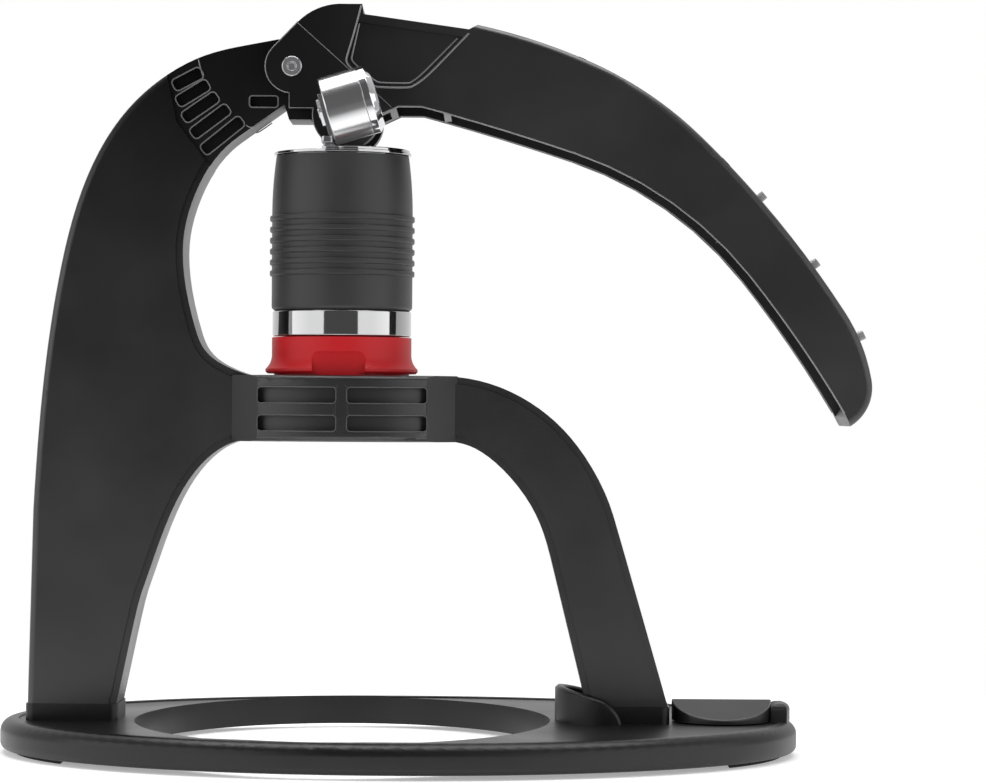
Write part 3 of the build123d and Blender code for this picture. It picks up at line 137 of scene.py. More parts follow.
# %% Floor
FLOOR_HALF = 3.0
SHADOW_FROM, SHADOW_TO = 0.12, 0.34
DIM_FROM, DIM_TO, DIM_GLOW = -0.3, -0.55, 0.15
floor_mesh = bpy.data.meshes.new("floor")
bm = bmesh.new()
bmesh.ops.create_grid(bm, x_segments=8, y_segments=8, size=FLOOR_HALF)
bm.to_mesh(floor_mesh)
bm.free()
floor = bpy.data.objects.new("floor", floor_mesh)
scene.collection.objects.link(floor)

floor_mat = bpy.data.materials.new("floor_white")
floor_mat.use_nodes = True
floor_bsdf = floor_mat.node_tree.nodes["Principled BSDF"]
floor_bsdf.inputs["Base Color"].default_value = (0.93, 0.93, 0.93, 1)
floor_bsdf.inputs["Roughness"].default_value = 0.7
floor_bsdf.inputs["Emission Color"].default_value = (1, 1, 1, 1)
floor_bsdf.inputs["Emission Strength"].default_value = 0.35
floor_tree = floor_mat.node_tree
f_coord = floor_tree.nodes.new("ShaderNodeTexCoord")
f_far = floor_tree.nodes.new("ShaderNodeVectorMath")
f_far.operation = "LENGTH"
f_range = floor_tree.nodes.new("ShaderNodeMapRange")
f_range.interpolation_type = "SMOOTHSTEP"
f_range.inputs["From Min"].default_value = SHADOW_FROM
f_range.inputs["From Max"].default_value = SHADOW_TO
f_white = floor_tree.nodes.new("ShaderNodeEmission")
f_axes = floor_tree.nodes.new("ShaderNodeSeparateXYZ")
f_front = floor_tree.nodes.new("ShaderNodeMapRange")
f_front.inputs["From Min"].default_value = DIM_FROM
f_front.inputs["From Max"].default_value = DIM_TO
f_path = floor_tree.nodes.new("ShaderNodeLightPath")
f_dim = floor_tree.nodes.new("ShaderNodeMath")
f_dim.operation = "MULTIPLY"
f_left = floor_tree.nodes.new("ShaderNodeMapRange")
f_left.inputs["To Min"].default_value = 1.0
f_left.inputs["To Max"].default_value = DIM_GLOW
f_mix = floor_tree.nodes.new("ShaderNodeMixShader")
floor_tree.links.new(f_coord.outputs["Object"], f_far.inputs[0])
floor_tree.links.new(f_far.outputs["Value"], f_range.inputs["Value"])
floor_tree.links.new(f_range.outputs["Result"], f_mix.inputs["Fac"])
floor_tree.links.new(f_coord.outputs["Object"], f_axes.inputs["Vector"])
floor_tree.links.new(f_axes.outputs["Y"], f_front.inputs["Value"])
floor_tree.links.new(f_front.outputs["Result"], f_dim.inputs[0])
floor_tree.links.new(f_path.outputs["Is Glossy Ray"], f_dim.inputs[1])
floor_tree.links.new(f_dim.outputs["Value"], f_left.inputs["Value"])
floor_tree.links.new(f_left.outputs["Result"], f_white.inputs["Strength"])
floor_tree.links.new(floor_bsdf.outputs["BSDF"], f_mix.inputs[1])
floor_tree.links.new(f_white.outputs["Emission"], f_mix.inputs[2])
floor_tree.links.new(f_mix.outputs["Shader"], floor_tree.nodes["Material Output"].inputs["Surface"])
floor_mesh.materials.append(floor_mat)
print("floor", 2 * FLOOR_HALF, "m square")

# %% [markdown]
# A soft box hangs overhead. Two wide panels stand left and right of the camera: polished rounds mirror them as two
# bright bands with a dark one between.

# %% Lights


def area_light(name, place, target, width, height, power):
    data = bpy.data.lights.new(name, "AREA")
    data.shape = "RECTANGLE"
    data.size = width
    data.size_y = height
    data.energy = power
    lamp = bpy.data.objects.new(name, data)
    lamp.location = place
    lamp.rotation_euler = (Vector(target) - Vector(place)).to_track_quat("-Z", "Y").to_euler()
    scene.collection.objects.link(lamp)
    return lamp


TOP_POWER, PANEL_POWER = 16, 6.5
area_light("top_box", (0.0, 0.1, 1.3), (0, 0, 0.1), 1.4, 1.0, TOP_POWER)
for side, name in ((-1, "left_panel"), (1, "right_panel")):
    area_light(name, (side * 1.27, -0.8, 0.5), (0, 0, 0.12), 1.8, 1.0, PANEL_POWER)

# %% [markdown]
# ## Shared shader effects
#
# Three node groups are shared. `moulded_grain` gives the fine texture of a moulding: a bumped normal and a slow
# patchiness for roughness.

# %% Moulded grain


def new_group(name, inputs, outputs):
    tree = bpy.data.node_groups.new(name, "ShaderNodeTree")
    for label, kind, value in inputs:
        socket = tree.interface.new_socket(label, in_out="INPUT", socket_type=kind)
        socket.default_value = value
    for label, kind in outputs:
        tree.interface.new_socket(label, in_out="OUTPUT", socket_type=kind)
    return tree, tree.nodes.new("NodeGroupInput"), tree.nodes.new("NodeGroupOutput")


FLOAT = "NodeSocketFloat"
grain, g_in, g_out = new_group(
    "moulded_grain",
    [("Scale", FLOAT, 1800), ("Depth", FLOAT, 0.05), ("Low", FLOAT, 0.3), ("High", FLOAT, 0.45)],
    [("Roughness", FLOAT), ("Patch", FLOAT), ("Normal", "NodeSocketVector")],
)
g_coord = grain.nodes.new("ShaderNodeTexCoord")
g_fine = grain.nodes.new("ShaderNodeTexNoise")
g_patch = grain.nodes.new("ShaderNodeTexNoise")
g_bump = grain.nodes.new("ShaderNodeBump")
g_range = grain.nodes.new("ShaderNodeMapRange")
g_fine.inputs["Detail"].default_value = 3
g_patch.inputs["Scale"].default_value = 28
g_patch.inputs["Detail"].default_value = 4
g_bump.inputs["Distance"].default_value = 0.0002
g_range.inputs["From Min"].default_value = 0.3
g_range.inputs["From Max"].default_value = 0.7
grain.links.new(g_coord.outputs["Object"], g_fine.inputs["Vector"])
grain.links.new(g_coord.outputs["Object"], g_patch.inputs["Vector"])
grain.links.new(g_in.outputs["Scale"], g_fine.inputs["Scale"])
grain.links.new(g_in.outputs["Depth"], g_bump.inputs["Strength"])
grain.links.new(g_fine.outputs["Fac"], g_bump.inputs["Height"])
grain.links.new(g_patch.outputs["Fac"], g_range.inputs["Value"])
grain.links.new(g_in.outputs["Low"], g_range.inputs["To Min"])
grain.links.new(g_in.outputs["High"], g_range.inputs["To Max"])
grain.links.new(g_range.outputs["Result"], g_out.inputs["Roughness"])
grain.links.new(g_patch.outputs["Fac"], g_out.inputs["Patch"])
grain.links.new(g_bump.outputs["Normal"], g_out.inputs["Normal"])
print("group", grain.name, len(grain.nodes), "nodes")

# %% [markdown]
# `turned_lines` gives the faint rings that a lathe leaves. It measures how far a point lies along an axis and out
# from it, and stretches noise along the sum of the two.

# %% Turned lines
turned, t_in, t_out = new_group(
    "turned_lines",
    [
        ("Lines", FLOAT, 2600),
        ("Depth", FLOAT, 0.08),
        ("Low", FLOAT, 0.08),
        ("High", FLOAT, 0.2),
        ("Centre", "NodeSocketVector", (0, 0, 0)),
        ("Axis", "NodeSocketVector", (0, 0, 1)),
    ],
    [("Roughness", FLOAT), ("Normal", "NodeSocketVector")],
)


def vector_math(tree, operation):
    node = tree.nodes.new("ShaderNodeVectorMath")
    node.operation = operation
    return node


t_coord = turned.nodes.new("ShaderNodeTexCoord")
t_from = vector_math(turned, "SUBTRACT")
t_along = vector_math(turned, "DOT_PRODUCT")
t_shaft = vector_math(turned, "SCALE")
t_out_from = vector_math(turned, "SUBTRACT")
t_radius = vector_math(turned, "LENGTH")
t_sum = turned.nodes.new("ShaderNodeMath")
t_times = turned.nodes.new("ShaderNodeMath")
t_noise = turned.nodes.new("ShaderNodeTexNoise")
t_bump = turned.nodes.new("ShaderNodeBump")
t_range = turned.nodes.new("ShaderNodeMapRange")
t_times.operation = "MULTIPLY"
t_noise.noise_dimensions = "1D"
t_noise.inputs["Detail"].default_value = 4
t_noise.inputs["Scale"].default_value = 1
t_bump.inputs["Distance"].default_value = 0.0001
turned.links.new(t_coord.outputs["Object"], t_from.inputs[0])
turned.links.new(t_in.outputs["Centre"], t_from.inputs[1])
turned.links.new(t_from.outputs["Vector"], t_along.inputs[0])
turned.links.new(t_in.outputs["Axis"], t_along.inputs[1])
turned.links.new(t_in.outputs["Axis"], t_shaft.inputs[0])
turned.links.new(t_along.outputs["Value"], t_shaft.inputs["Scale"])
turned.links.new(t_from.outputs["Vector"], t_out_from.inputs[0])
turned.links.new(t_shaft.outputs["Vector"], t_out_from.inputs[1])
turned.links.new(t_out_from.outputs["Vector"], t_radius.inputs[0])
turned.links.new(t_along.outputs["Value"], t_sum.inputs[0])
turned.links.new(t_radius.outputs["Value"], t_sum.inputs[1])
turned.links.new(t_sum.outputs["Value"], t_times.inputs[0])
turned.links.new(t_in.outputs["Lines"], t_times.inputs[1])
turned.links.new(t_times.outputs["Value"], t_noise.inputs["W"])
turned.links.new(t_noise.outputs["Fac"], t_bump.inputs["Height"])
turned.links.new(t_in.outputs["Depth"], t_bump.inputs["Strength"])
turned.links.new(t_noise.outputs["Fac"], t_range.inputs["Value"])
turned.links.new(t_in.outputs["Low"], t_range.inputs["To Min"])
turned.links.new(t_in.outputs["High"], t_range.inputs["To Max"])
turned.links.new(t_range.outputs["Result"], t_out.inputs["Roughness"])
turned.links.new(t_bump.outputs["Normal"], t_out.inputs["Normal"])
print("group", turned.name, len(turned.nodes), "nodes")

# %% [markdown]
# `painted_sheen_fade` lets a moulding's shine change along a direction, as painted light and shade: the big faces get
# a painted sheen, and the faces round the hinge are dulled as painted shade.

# %% Sheen fade
sheen, s_in, s_out = new_group(
    "painted_sheen_fade",
    [
        ("Start", "NodeSocketVector", (0, 0, 0)),
        ("Along", "NodeSocketVector", (0, 0, 1)),
        ("From", FLOAT, 0.5),
        ("To", FLOAT, 0.5),
    ],
    [("Sheen", FLOAT)],
)
s_coord = sheen.nodes.new("ShaderNodeTexCoord")
s_from = vector_math(sheen, "SUBTRACT")
s_along = vector_math(sheen, "DOT_PRODUCT")
s_range = sheen.nodes.new("ShaderNodeMapRange")
s_range.interpolation_type = "SMOOTHSTEP"
sheen.links.new(s_coord.outputs["Object"], s_from.inputs[0])
sheen.links.new(s_in.outputs["Start"], s_from.inputs[1])
sheen.links.new(s_from.outputs["Vector"], s_along.inputs[0])
sheen.links.new(s_in.outputs["Along"], s_along.inputs[1])
sheen.links.new(s_along.outputs["Value"], s_range.inputs["Value"])
sheen.links.new(s_in.outputs["From"], s_range.inputs["To Min"])
sheen.links.new(s_in.outputs["To"], s_range.inputs["To Max"])
sheen.links.new(s_range.outputs["Result"], s_out.inputs["Sheen"])
print("group", sheen.name, len(sheen.nodes), "nodes")

# %% [markdown]
# ## Materials
#
# A moulding mixes two close colours by its patchiness, and takes its roughness and normal from `moulded_grain`.
# A turned metal takes them from `turned_lines`. The numbers after the colours are the lowest and highest roughness
# and the depth of the grain or the lines.

# %% Material makers


def add_effect(tree, group, **values):
    node = tree.nodes.new("ShaderNodeGroup")
    node.node_tree = group
    for label, value in values.items():
        node.inputs[label].default_value = value
    return node


def moulding(name, dark, light, low, high, depth, scale=1800, **extra):
    mat = bpy.data.materials.new(name)
    mat.use_nodes = True
    tree = mat.node_tree
    bsdf = tree.nodes["Principled BSDF"]
    effect = add_effect(tree, grain, Scale=scale, Depth=depth, Low=low, High=high)
    blend = tree.nodes.new("ShaderNodeMix")
    blend.data_type = "RGBA"
    blend.inputs[6].default_value = (*dark, 1)
    blend.inputs[7].default_value = (*light, 1)
    tree.links.new(effect.outputs["Patch"], blend.inputs[0])
    tree.links.new(blend.outputs[2], bsdf.inputs["Base Color"])
    tree.links.new(effect.outputs["Roughness"], bsdf.inputs["Roughness"])
    tree.links.new(effect.outputs["Normal"], bsdf.inputs["Normal"])
    for label, value in extra.items():
        bsdf.inputs[label.replace("_", " ").title()].default_value = value
    return mat


def turned_metal(name, colour, low, high, depth, centre=(0, 0, 0), axis=(0, 0, 1), lines=2600):
    mat = bpy.data.materials.new(name)
    mat.use_nodes = True
    tree = mat.node_tree
    bsdf = tree.nodes["Principled BSDF"]
    effect = add_effect(tree, turned, Lines=lines, Centre=centre, Axis=axis, Depth=depth, Low=low, High=high)
    bsdf.inputs["Base Color"].default_value = (*colour, 1)
    bsdf.inputs["Metallic"].default_value = 1
    tree.links.new(effect.outputs["Roughness"], bsdf.inputs["Roughness"])
    tree.links.new(effect.outputs["Normal"], bsdf.inputs["Normal"])
    return mat


def set_sheen(mat, amount):
    mat.node_tree.nodes["Principled BSDF"].inputs["Specular IOR Level"].default_value = amount


def fade_sheen(mat, start, along, first, last):
    tree = mat.node_tree
    effect = add_effect(tree, sheen, Start=start, Along=along, From=first, To=last)
    tree.links.new(effect.outputs["Sheen"], tree.nodes["Principled BSDF"].inputs["Specular IOR Level"])


print("makers for mouldings, turned metals and their sheen")

# %% [markdown]
# The frame loses its shine towards the neck, and the lever gains it towards the grip: painted shade at the neck and
# the ear, painted sheen lower on the frame and along the grip. The lever is also a lighter copy of the black moulding,
# which paints light on it.

# %% Mouldings
black = moulding("black_moulding", (0.0046, 0.0046, 0.0047), (0.0066, 0.0066, 0.0067), 0.3, 0.42, 0.06)
# Painted shade: the frame's sheen falls from 0.95 to 0.12 going up to the neck.
fade_sheen(black, (0, 0, 0.15), (0, 0, 1 / 0.093), 0.95, 0.12)
base_black = moulding("base_moulding", (0.0046, 0.0046, 0.0047), (0.0066, 0.0066, 0.0067), 0.3, 0.42, 0.06)
set_sheen(base_black, 0.45)
# Painted light: the lever is a lighter copy of the black moulding, and its sheen rises from the dulled ear to the
# grip.
lever_black = moulding("lever_moulding", (0.008, 0.008, 0.0082), (0.0115, 0.0115, 0.0118), 0.32, 0.44, 0.06)
fade_sheen(lever_black, (-0.05, 0, 0), (1 / 0.075, 0, 0), 0.12, 0.95)
knob_black = moulding("knob_plastic", (0.012, 0.012, 0.012), (0.018, 0.018, 0.018), 0.34, 0.46, 0.05)
# A lighter grey for edge rounds and rims: a painted highlight.
painted_highlight_grey = moulding("painted_highlight_edge", (0.06, 0.06, 0.061), (0.09, 0.09, 0.091), 0.16, 0.26, 0.03)
# Light grey for raised beads, lips and rims: a painted highlight.
painted_highlight_bead_grey = moulding("painted_highlight_bead", (0.15, 0.15, 0.152), (0.2, 0.2, 0.202), 0.12, 0.2, 0.03, coat_weight=1)
set_sheen(painted_highlight_bead_grey, 1)
rubber = moulding("pad_rubber", (0.01, 0.01, 0.01), (0.02, 0.02, 0.02), 0.7, 0.9, 0.2, 900)
silicone = moulding("sleeve_silicone", (0.03, 0.03, 0.032), (0.039, 0.039, 0.041), 0.4, 0.5, 0.05, 2600)
red = moulding("red_plastic", (0.53, 0.005, 0.009), (0.63, 0.008, 0.014), 0.4, 0.5, 0.03, 2200)
set_sheen(red, 0.35)
seal_black = moulding("seal_rubber", (0.006, 0.006, 0.006), (0.012, 0.012, 0.012), 0.4, 0.55, 0.06)
grey_plastic = moulding("grey_plastic", (0.02, 0.02, 0.022), (0.03, 0.03, 0.032), 0.4, 0.5, 0.06)
clear_nub = moulding("clear_nub", (0.3, 0.3, 0.31), (0.42, 0.42, 0.43), 0.2, 0.3, 0.02)
dial_white = moulding("dial_white", (0.82, 0.82, 0.8), (0.88, 0.88, 0.86), 0.45, 0.55, 0.02)
pointer_black = moulding("pointer_lacquer", (0.008, 0.008, 0.008), (0.014, 0.014, 0.014), 0.3, 0.4, 0.02)
print("mouldings", len(bpy.data.materials) - 1)

# %% [markdown]
# Each metal has its lines round its own axis: the brew head's, the pin's or the gauge's. The lens is clear, with a
# faint smear.

# %% Metals and glass
BREW_AXIS = (BREW_X, 0, 0)
steel = turned_metal("turned_steel", (0.55, 0.55, 0.57), 0.16, 0.32, 0.1, BREW_AXIS)
pin_steel = turned_metal("pin_steel", (0.56, 0.56, 0.57), 0.3, 0.42, 0.05, PIN, (0, 1, 0), 5200)
polished = turned_metal("polished_steel", (0.54, 0.54, 0.545), 0.04, 0.09, 0.012, BREW_AXIS)
gauge_polished = turned_metal("gauge_polished", (0.82, 0.82, 0.84), 0.05, 0.11, 0.015, GAUGE, GAUGE_AXIS)
gauge_brushed = turned_metal("gauge_brushed", (0.8, 0.8, 0.81), 0.14, 0.28, 0.03, GAUGE, GAUGE_AXIS)
gauge_steel = turned_metal("gauge_steel", (0.6, 0.6, 0.62), 0.14, 0.26, 0.06, GAUGE, GAUGE_AXIS)
bronze = turned_metal("sintered_bronze", (0.5, 0.32, 0.14), 0.3, 0.45, 0.1, PIN, (0, 1, 0))

lens_glass = bpy.data.materials.new("lens_glass")
lens_glass.use_nodes = True
glass_tree = lens_glass.node_tree
glass_bsdf = glass_tree.nodes["Principled BSDF"]
glass_bsdf.inputs["Transmission Weight"].default_value = 1
glass_bsdf.inputs["IOR"].default_value = 1.45
glass_smear = add_effect(glass_tree, grain, Low=0.0, High=0.04)
glass_tree.links.new(glass_smear.outputs["Roughness"], glass_bsdf.inputs["Roughness"])
print("materials", len(bpy.data.materials))

# %% [markdown]
# ## Finishes for the CAD nodes
#
# Each node keeps its mesh. Its loose triangles are welded, flat facets are merged, the sharp edges get a fine round
# that catches the light, and weighted normals keep the flat faces flat. On the black mouldings the round is a second,
# light grey material, a painted highlight, which draws the thin bright lines along their edges. The lever keeps crisp
# edges, because beads follow them in the next cell.

# %% Dress the CAD nodes
finishes = {
    "base_ring": base_black,
    "foot_pads": rubber,
    "frame": black,
    "hinge_bushes": bronze,
    "foot_lock_knob": knob_black,
    "foot_lock_tongue": steel,
    "foot_lock_screw": steel,
    "lever_arm": lever_black,
    "lever_nubs": clear_nub,
    "hinge_pin": pin_steel,
    "pin_clip": pin_steel,
    "brew_cylinder": polished,
    "cylinder_sleeve": silicone,
    "portafilter": red,
    "portafilter_seal": seal_black,
    "filter_basket": steel,
    "dispersion_screen": steel,
    "spout_insert": grey_plastic,
    "plunger_cap": polished,
    "piston_stem": steel,
    "piston": grey_plastic,
    "piston_seals": seal_black,
    "piston_screw": steel,
    "gauge_arm": gauge_steel,
    "gauge_post": gauge_steel,
    "gauge_nut": gauge_steel,
    "gauge_case": gauge_brushed,
    "gauge_bezel": gauge_polished,
    "gauge_lens": lens_glass,
    "gauge_dial": dial_white,
    "gauge_movement": bronze,
    "bourdon_tube": bronze,
    "gauge_pointer": pointer_black,
}
WELD_GAP = 0.002 * MM
FLAT_ANGLE, SHARP_ANGLE = math.radians(0.05), math.radians(32)
FINE_ROUND = 0.15
edge_rounds = {"base_ring": 0.5, "frame": 0.45, "foot_lock_knob": 0.4, "portafilter": 0.35}
painted_highlight_nodes = ("base_ring", "frame", "foot_lock_knob")
for name, node in nodes.items():
    node.data.materials.clear()
    node.data.materials.append(finishes[name])
    weld = node.modifiers.new("joined_corners", "WELD")
    weld.merge_threshold = WELD_GAP
    merge = node.modifiers.new("flat_faces", "DECIMATE")
    merge.decimate_type = "DISSOLVE"
    merge.angle_limit = FLAT_ANGLE
    if name == "lever_arm":
        crisp = node.modifiers.new("crisp_edges", "EDGE_SPLIT")
        crisp.split_angle = SHARP_ANGLE
    else:
        soften = node.modifiers.new("edge_round", "BEVEL")
        soften.width = edge_rounds.get(name, FINE_ROUND) * MM
        soften.segments = 2
        soften.limit_method = "ANGLE"
        soften.angle_limit = SHARP_ANGLE
        soften.use_clamp_overlap = True
    # The edge rounds of these mouldings take the lighter grey of the painted highlight.
    if name in painted_highlight_nodes:
        node.data.materials.append(painted_highlight_grey)
        soften.material = 1
    for poly in node.data.polygons:
        poly.use_smooth = True
    even = node.modifiers.new("even_normals", "WEIGHTED_NORMAL")
    even.keep_sharp = False
print("dressed", len(nodes))

# %% [markdown]
# ## Beads on the lever
#
# The lever's side panel is framed by two raised beads, a fine crease runs across the ear to the nose, and a lip
# follows the ear's outline and the edge of the open channel. A curve with a round section gives such a line in a few
# points. It is then kept as a mesh, so its place is baked in. Lips that follow arcs are sampled along tangent arcs,
# as in CAD. Points are in millimetres from the pin.

# %% Lever beads


def bead(name, runs, radius, body, finish, kind="NURBS"):
    curve = bpy.data.curves.new(name + "_line", "CURVE")
    curve.dimensions = "3D"
    curve.bevel_depth = radius
    curve.bevel_resolution = 2
    curve.resolution_u = 5
    curve.use_fill_caps = True
    for points in runs:
        spline = curve.splines.new(kind)
        spline.points.add(len(points) - 1)
        for knot, place in zip(spline.points, points):
            knot.co = (*place, 1)
        if kind == "NURBS":
            spline.order_u = 3
            spline.use_endpoint_u = True
    maker = bpy.data.objects.new(name + "_line", curve)
    mesh = bpy.data.meshes.new_from_object(maker)
    bpy.data.objects.remove(maker)
    mesh.name = name
    mesh.materials.clear()
    mesh.materials.append(finish)
    for poly in mesh.polygons:
        poly.use_smooth = True
    piece = bpy.data.objects.new(name, mesh)
    scene.collection.objects.link(piece)
    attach(piece, body)
    print(name, len(mesh.polygons), "faces")
    return piece


def beside_pin(points, y):
    return [(PIN.x + x * MM, y, PIN.z + z * MM) for x, z in points]


panel_outer = (
    (23.3, 20.6), (21.3, 12.5), (18.6, 3.6), (18.2, 1.6), (20.0, -0.8), (27.4, -6.5), (29.0, -7.0),
    (38.8, -7.1), (41.0, -6.6), (45.6, -3.2), (52.0, 3.4), (59.6, 11.4),
)
panel_inner = (
    (22.6, 14.6), (20.3, 4.0), (19.9, 2.5), (21.4, 0.6), (28.2, -4.9), (29.4, -5.4),
    (39.0, -5.6), (40.4, -5.2), (43.8, -2.5), (50.0, 3.8), (55.8, 9.8),
)
crease = ((1.7, 14.8), (12.0, 5.6), (33.6, -13.6))
PANEL_Y = LEVER_Y - 0.9 * MM


def arc_run(points, heading, steps=6):
    run = [points[0]]
    for a, b in zip(points, points[1:]):
        chord = Vector(b) - Vector(a)
        bend = math.atan2(chord.y, chord.x) - heading
        for k in range(1, steps + 1):
            turn = heading + bend * k / steps
            reach = chord.length * math.sin(bend * k / steps) / math.sin(bend)
            run.append((a[0] + reach * math.cos(turn), a[1] + reach * math.sin(turn)))
        heading += 2 * bend
    return run


def round_run(centre, radius, first, last, steps=12):
    turns = [math.radians(first + (last - first) * k / steps) for k in range(steps + 1)]
    return [(centre[0] + radius * math.cos(t), centre[1] + radius * math.sin(t)) for t in turns]


BELLY_START = math.radians(121)
EAR_RADIUS, NOSE, NOSE_RADIUS = 9, (18.5, -16.2), 11.4
belly = ((186.9, -115.7), (155.1, -70.1), (95.6, -28.8), (43.9, -13.4))
channel_lip = arc_run(belly, BELLY_START) + [(35.9, -13.4), (29.9, -16.2)]
ear_lip = [(2.1, 15.1)] + round_run((0, 0), EAR_RADIUS, 138.6, 264.9) + [(-0.8, -14.0)]
ear_lip += round_run(NOSE, NOSE_RADIUS, 169, 245.8)
lines = (
    ("panel_bead_outer", panel_outer, LEVER_Y, 0.35, "NURBS"),
    ("panel_bead_inner", panel_inner, PANEL_Y, 0.35, "NURBS"),
    ("ear_crease", crease, LEVER_Y, 0.14, "NURBS"),
    ("channel_lip", channel_lip, LEVER_Y, 0.25, "POLY"),
    ("ear_lip", ear_lip, LEVER_Y, 0.2, "POLY"),
)
# The lever's beads, crease and lips are coloured light grey as a painted highlight.
for name, points, y, radius, kind in lines:
    both = [beside_pin(points, side * y) for side in (-1, 1)]
    bead(name, both, radius * MM, "lever", painted_highlight_bead_grey, kind)

# %% [markdown]
# ## Rims round the vents
#
# Five slots in the neck and one beside the hinge have a thin raised rim, like the witness line of a moulding tool,
# coloured light grey as a painted highlight. A flat square is stretched and turned into each slot's place, its corners
# are rounded, an inset leaves a ring, and the ring is raised a little.

# %% Vent rims
NECK_Y = 10.5 * MM
VENTS, VENT_HEIGHT, VENT_CORNER, VENT_BOW = 5, 4.0, 1.3, 6.4
RIM_WIDTH, RIM_OUT, RIM_RISE = 0.45, 0.4, 0.25
slots = []
for i in range(VENTS):
    t = i / (VENTS - 1)
    bow = VENT_BOW * t * (1 - t)
    left = Vector((-40.6 + 10.1 * t - bow, -6.2 - 21.9 * t))
    right = Vector((-31.2 + 13.8 * t - bow, -1.2 - 16.3 * t))
    run = right - left
    slots.append(((left + right) / 2, run.length, VENT_HEIGHT, VENT_CORNER, math.atan2(run.y, run.x)))
slots.append((Vector((-10.0, -11.2)), 9.4, 3.6, 0.8, 0.0))
rim_mesh = bpy.data.meshes.new("vent_rims")
rims = bmesh.new()
for middle, length, height, corner, turn in slots:
    for side in (-1, 1):
        place = Matrix.Translation((PIN.x + middle.x * MM, side * NECK_Y, PIN.z + middle.y * MM))
        place = place @ Matrix.Rotation(-turn, 4, "Y") @ Matrix.Rotation(math.radians(90), 4, "X")
        stretch = Matrix.Diagonal(((length + 2 * RIM_OUT) * MM, (height + 2 * RIM_OUT) * MM, 1, 1))
        square = bmesh.ops.create_grid(rims, x_segments=1, y_segments=1, size=0.5, matrix=place @ stretch)["verts"]
        rounded = bmesh.ops.bevel(
            rims, geom=square, offset=(corner + RIM_OUT) * MM, segments=5, profile=0.5, affect="VERTICES", material=-1
        )
        face = max((f for v in rounded["verts"] for f in v.link_faces), key=lambda f: len(f.verts))
        bmesh.ops.inset_region(rims, faces=[face], thickness=RIM_WIDTH * MM, use_boundary=True, use_even_offset=True)
        ring = [f for e in face.edges for f in e.link_faces if f != face]
        bmesh.ops.delete(rims, geom=[face], context="FACES_ONLY")
        raised = bmesh.ops.extrude_face_region(rims, geom=ring)["geom"]
        lifted = [g for g in raised if isinstance(g, bmesh.types.BMVert)]
        bmesh.ops.translate(rims, verts=lifted, vec=(0, side * RIM_RISE * MM, 0))
bmesh.ops.remove_doubles(rims, verts=rims.verts, dist=0.001 * MM)
bmesh.ops.recalc_face_normals(rims, faces=rims.faces)
rims.to_mesh(rim_mesh)
rims.free()
rim_mesh.materials.append(painted_highlight_bead_grey)
vent_rims = bpy.data.objects.new("vent_rims", rim_mesh)
scene.collection.objects.link(vent_rims)
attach(vent_rims, "stand")
print("vent rims", len(rim_mesh.polygons), "faces")

# %% [markdown]
# ## Lines on the neck
#
# The neck's sunk face is edged by the same kind of light grey line, a painted highlight, over the first vent and under
# the last one.

# %% Neck lines
neck_lines = (
    ((-32.3, 3.0), (-31.7, 0.3), (-30.6, -3.2)),
    ((-15.9, -19.2), (-14.9, -20.0), (-13.6, -20.0), (-11.8, -18.9), (-8.6, -16.6)),
)
both = [beside_pin(points, side * NECK_Y) for points in neck_lines for side in (-1, 1)]
bead("neck_lines", both, 0.22 * MM, "stand", painted_highlight_bead_grey)

# %% [markdown]
# ## Rims on the deck and the heel cup
#
# The four shallow windows on each side of the deck have a thin rim, coloured in the grey of the painted edge
# highlight. The deck is bowed, so each point of a rim is set on the bow. The wall of the heel cup ends in a full
# round, which is a thick bead along its sloping top.

# %% Deck and cup rims
DECK_X, DECK_Z = -30.9, 117.25
DECK_HALF, DECK_Y, DECK_BOW = 28.5, 29.0, 6.0
WINDOW_L, WINDOW_H, WINDOW_ROUND = 26.7, 5.4, 1.2
WINDOW_DX, WINDOW_DZ = 15.15, 4.7
BOW_RADIUS = (DECK_HALF ** 2 + DECK_BOW ** 2) / (2 * DECK_BOW)


def bowed(x):
    return DECK_Y - BOW_RADIUS + math.sqrt(BOW_RADIUS ** 2 - (x - DECK_X) ** 2)


def between(a, b, t):
    return a[0] + (b[0] - a[0]) * t, a[1] + (b[1] - a[1]) * t


def window_run(x, z, steps=8):
    across, up = WINDOW_L / 2 - WINDOW_ROUND, WINDOW_H / 2 - WINDOW_ROUND
    run = []
    for first, sx, sz in ((0, 1, 1), (90, -1, 1), (180, -1, -1), (270, 1, -1)):
        run += round_run((x + sx * across, z + sz * up), WINDOW_ROUND, first, first + 90, 4)
        if first in (0, 180):
            run += [(x + sx * across * (1 - 2 * k / steps), run[-1][1]) for k in range(1, steps)]
    return run + run[:1]


deck_runs = []
for side in (-1, 1):
    for column in (-1, 1):
        for row in (-1, 1):
            run = window_run(DECK_X + column * WINDOW_DX, DECK_Z + row * WINDOW_DZ)
            deck_runs.append([(x * MM, side * bowed(x) * MM, z * MM) for x, z in run])
bead("deck_rims", deck_runs, 0.2 * MM, "stand", painted_highlight_grey, "POLY")

CUP_X, CUP_RADIUS, CUP_WALL = 59.4, 17.8, 3.0
CUP_TOP, CUP_KNEE, CUP_END = (41.6, 22.4), (55.6, 18.4), (62.6, 11.1)
cup_middle = CUP_RADIUS - CUP_WALL / 2
fall = math.atan2(CUP_KNEE[1] - CUP_TOP[1], CUP_KNEE[0] - CUP_TOP[0])
SLOPE_STEPS = 24
slope = [between(CUP_TOP, CUP_KNEE, k / SLOPE_STEPS) for k in range(SLOPE_STEPS)]
slope = [p for p in slope + arc_run([CUP_KNEE, CUP_END], fall, 10) if p[0] > CUP_X - cup_middle]
half_rim = [(x, math.sqrt(cup_middle ** 2 - (x - CUP_X) ** 2), z) for x, z in slope]
start = (CUP_X - cup_middle, 0.0, slope[0][1])
rim = [(x, -y, z) for x, y, z in reversed(half_rim)] + [start] + half_rim
rim = [(x * MM, y * MM, z * MM) for x, y, z in rim]
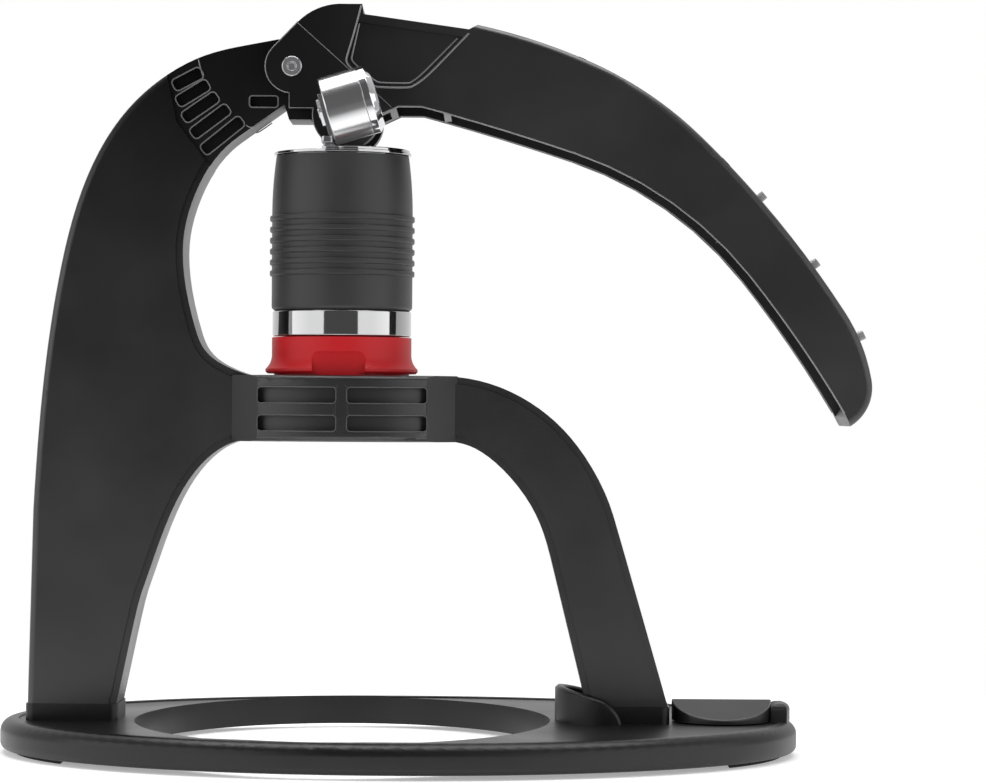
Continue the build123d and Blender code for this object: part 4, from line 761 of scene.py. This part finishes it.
bead("cup_rim", [rim], CUP_WALL / 2 * MM, "stand", base_black, "POLY")

# %% [markdown]
# ## Dial marks
#
# The dial faces the user. It gets a plain scale: short strokes over three quarters of a turn, every third one longer,
# with generic numbers. Strokes are slim boxes with rounded ends, and numbers are text made into thin meshes.

# %% Dial marks
DIAL = 4.1 * MM
SCALE_START, SCALE_STEP, STROKES = 225, 22.5, 13
STROKE_END, NUMBER_RADIUS, NUMBER_SIZE = 8.6 * MM, 5.4 * MM, 2.2 * MM
INK_HALF = 0.03 * MM
dial_frame = Matrix.Translation(GAUGE + GAUGE_AXIS * DIAL) @ Matrix.Rotation(TILT, 4, (0, -1, 0))
dial_frame = dial_frame @ Matrix(((0, 0, 1, 0), (1, 0, 0, 0), (0, 1, 0, 0), (0, 0, 0, 1)))
ink = moulding("dial_ink", (0.01, 0.01, 0.012), (0.02, 0.02, 0.022), 0.4, 0.5, 0.02)
marks = bmesh.new()
for step in range(STROKES):
    turn = math.radians(SCALE_START - step * SCALE_STEP)
    long = step % 3 == 0
    length = (1.7 if long else 1.0) * MM
    spot = dial_frame @ Matrix.Rotation(turn, 4, "Z") @ Matrix.Translation((STROKE_END - length / 2, 0, INK_HALF))
    size = Matrix.Diagonal((length, (0.4 if long else 0.26) * MM, 2 * INK_HALF, 1))
    stroke = bmesh.ops.create_cube(marks, size=1, matrix=spot @ size)["verts"]
    edges = list({e for v in stroke for e in v.link_edges if (e.verts[0].co - e.verts[1].co).length < 0.1 * MM})
    bmesh.ops.bevel(marks, geom=edges, offset=0.1 * MM, segments=2, profile=0.5, affect="EDGES", material=-1)
for number in range(0, STROKES, 3):
    turn = math.radians(SCALE_START - number * SCALE_STEP)
    words = bpy.data.curves.new("dial_number", "FONT")
    words.body = str(number)
    words.size = NUMBER_SIZE
    words.align_x = "CENTER"
    words.align_y = "CENTER"
    words.extrude = INK_HALF
    maker = bpy.data.objects.new("dial_number", words)
    figure = bpy.data.meshes.new_from_object(maker)
    bpy.data.objects.remove(maker)
    spot = Vector((NUMBER_RADIUS * math.cos(turn), NUMBER_RADIUS * math.sin(turn), INK_HALF))
    figure.transform(dial_frame @ Matrix.Translation(spot))
    marks.from_mesh(figure)
mark_mesh = bpy.data.meshes.new("dial_marks")
marks.to_mesh(mark_mesh)
marks.free()
mark_mesh.materials.clear()
mark_mesh.materials.append(ink)
dial_marks = bpy.data.objects.new("dial_marks", mark_mesh)
scene.collection.objects.link(dial_marks)
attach(dial_marks, "plunger")
print("dial marks", len(mark_mesh.polygons), "faces")
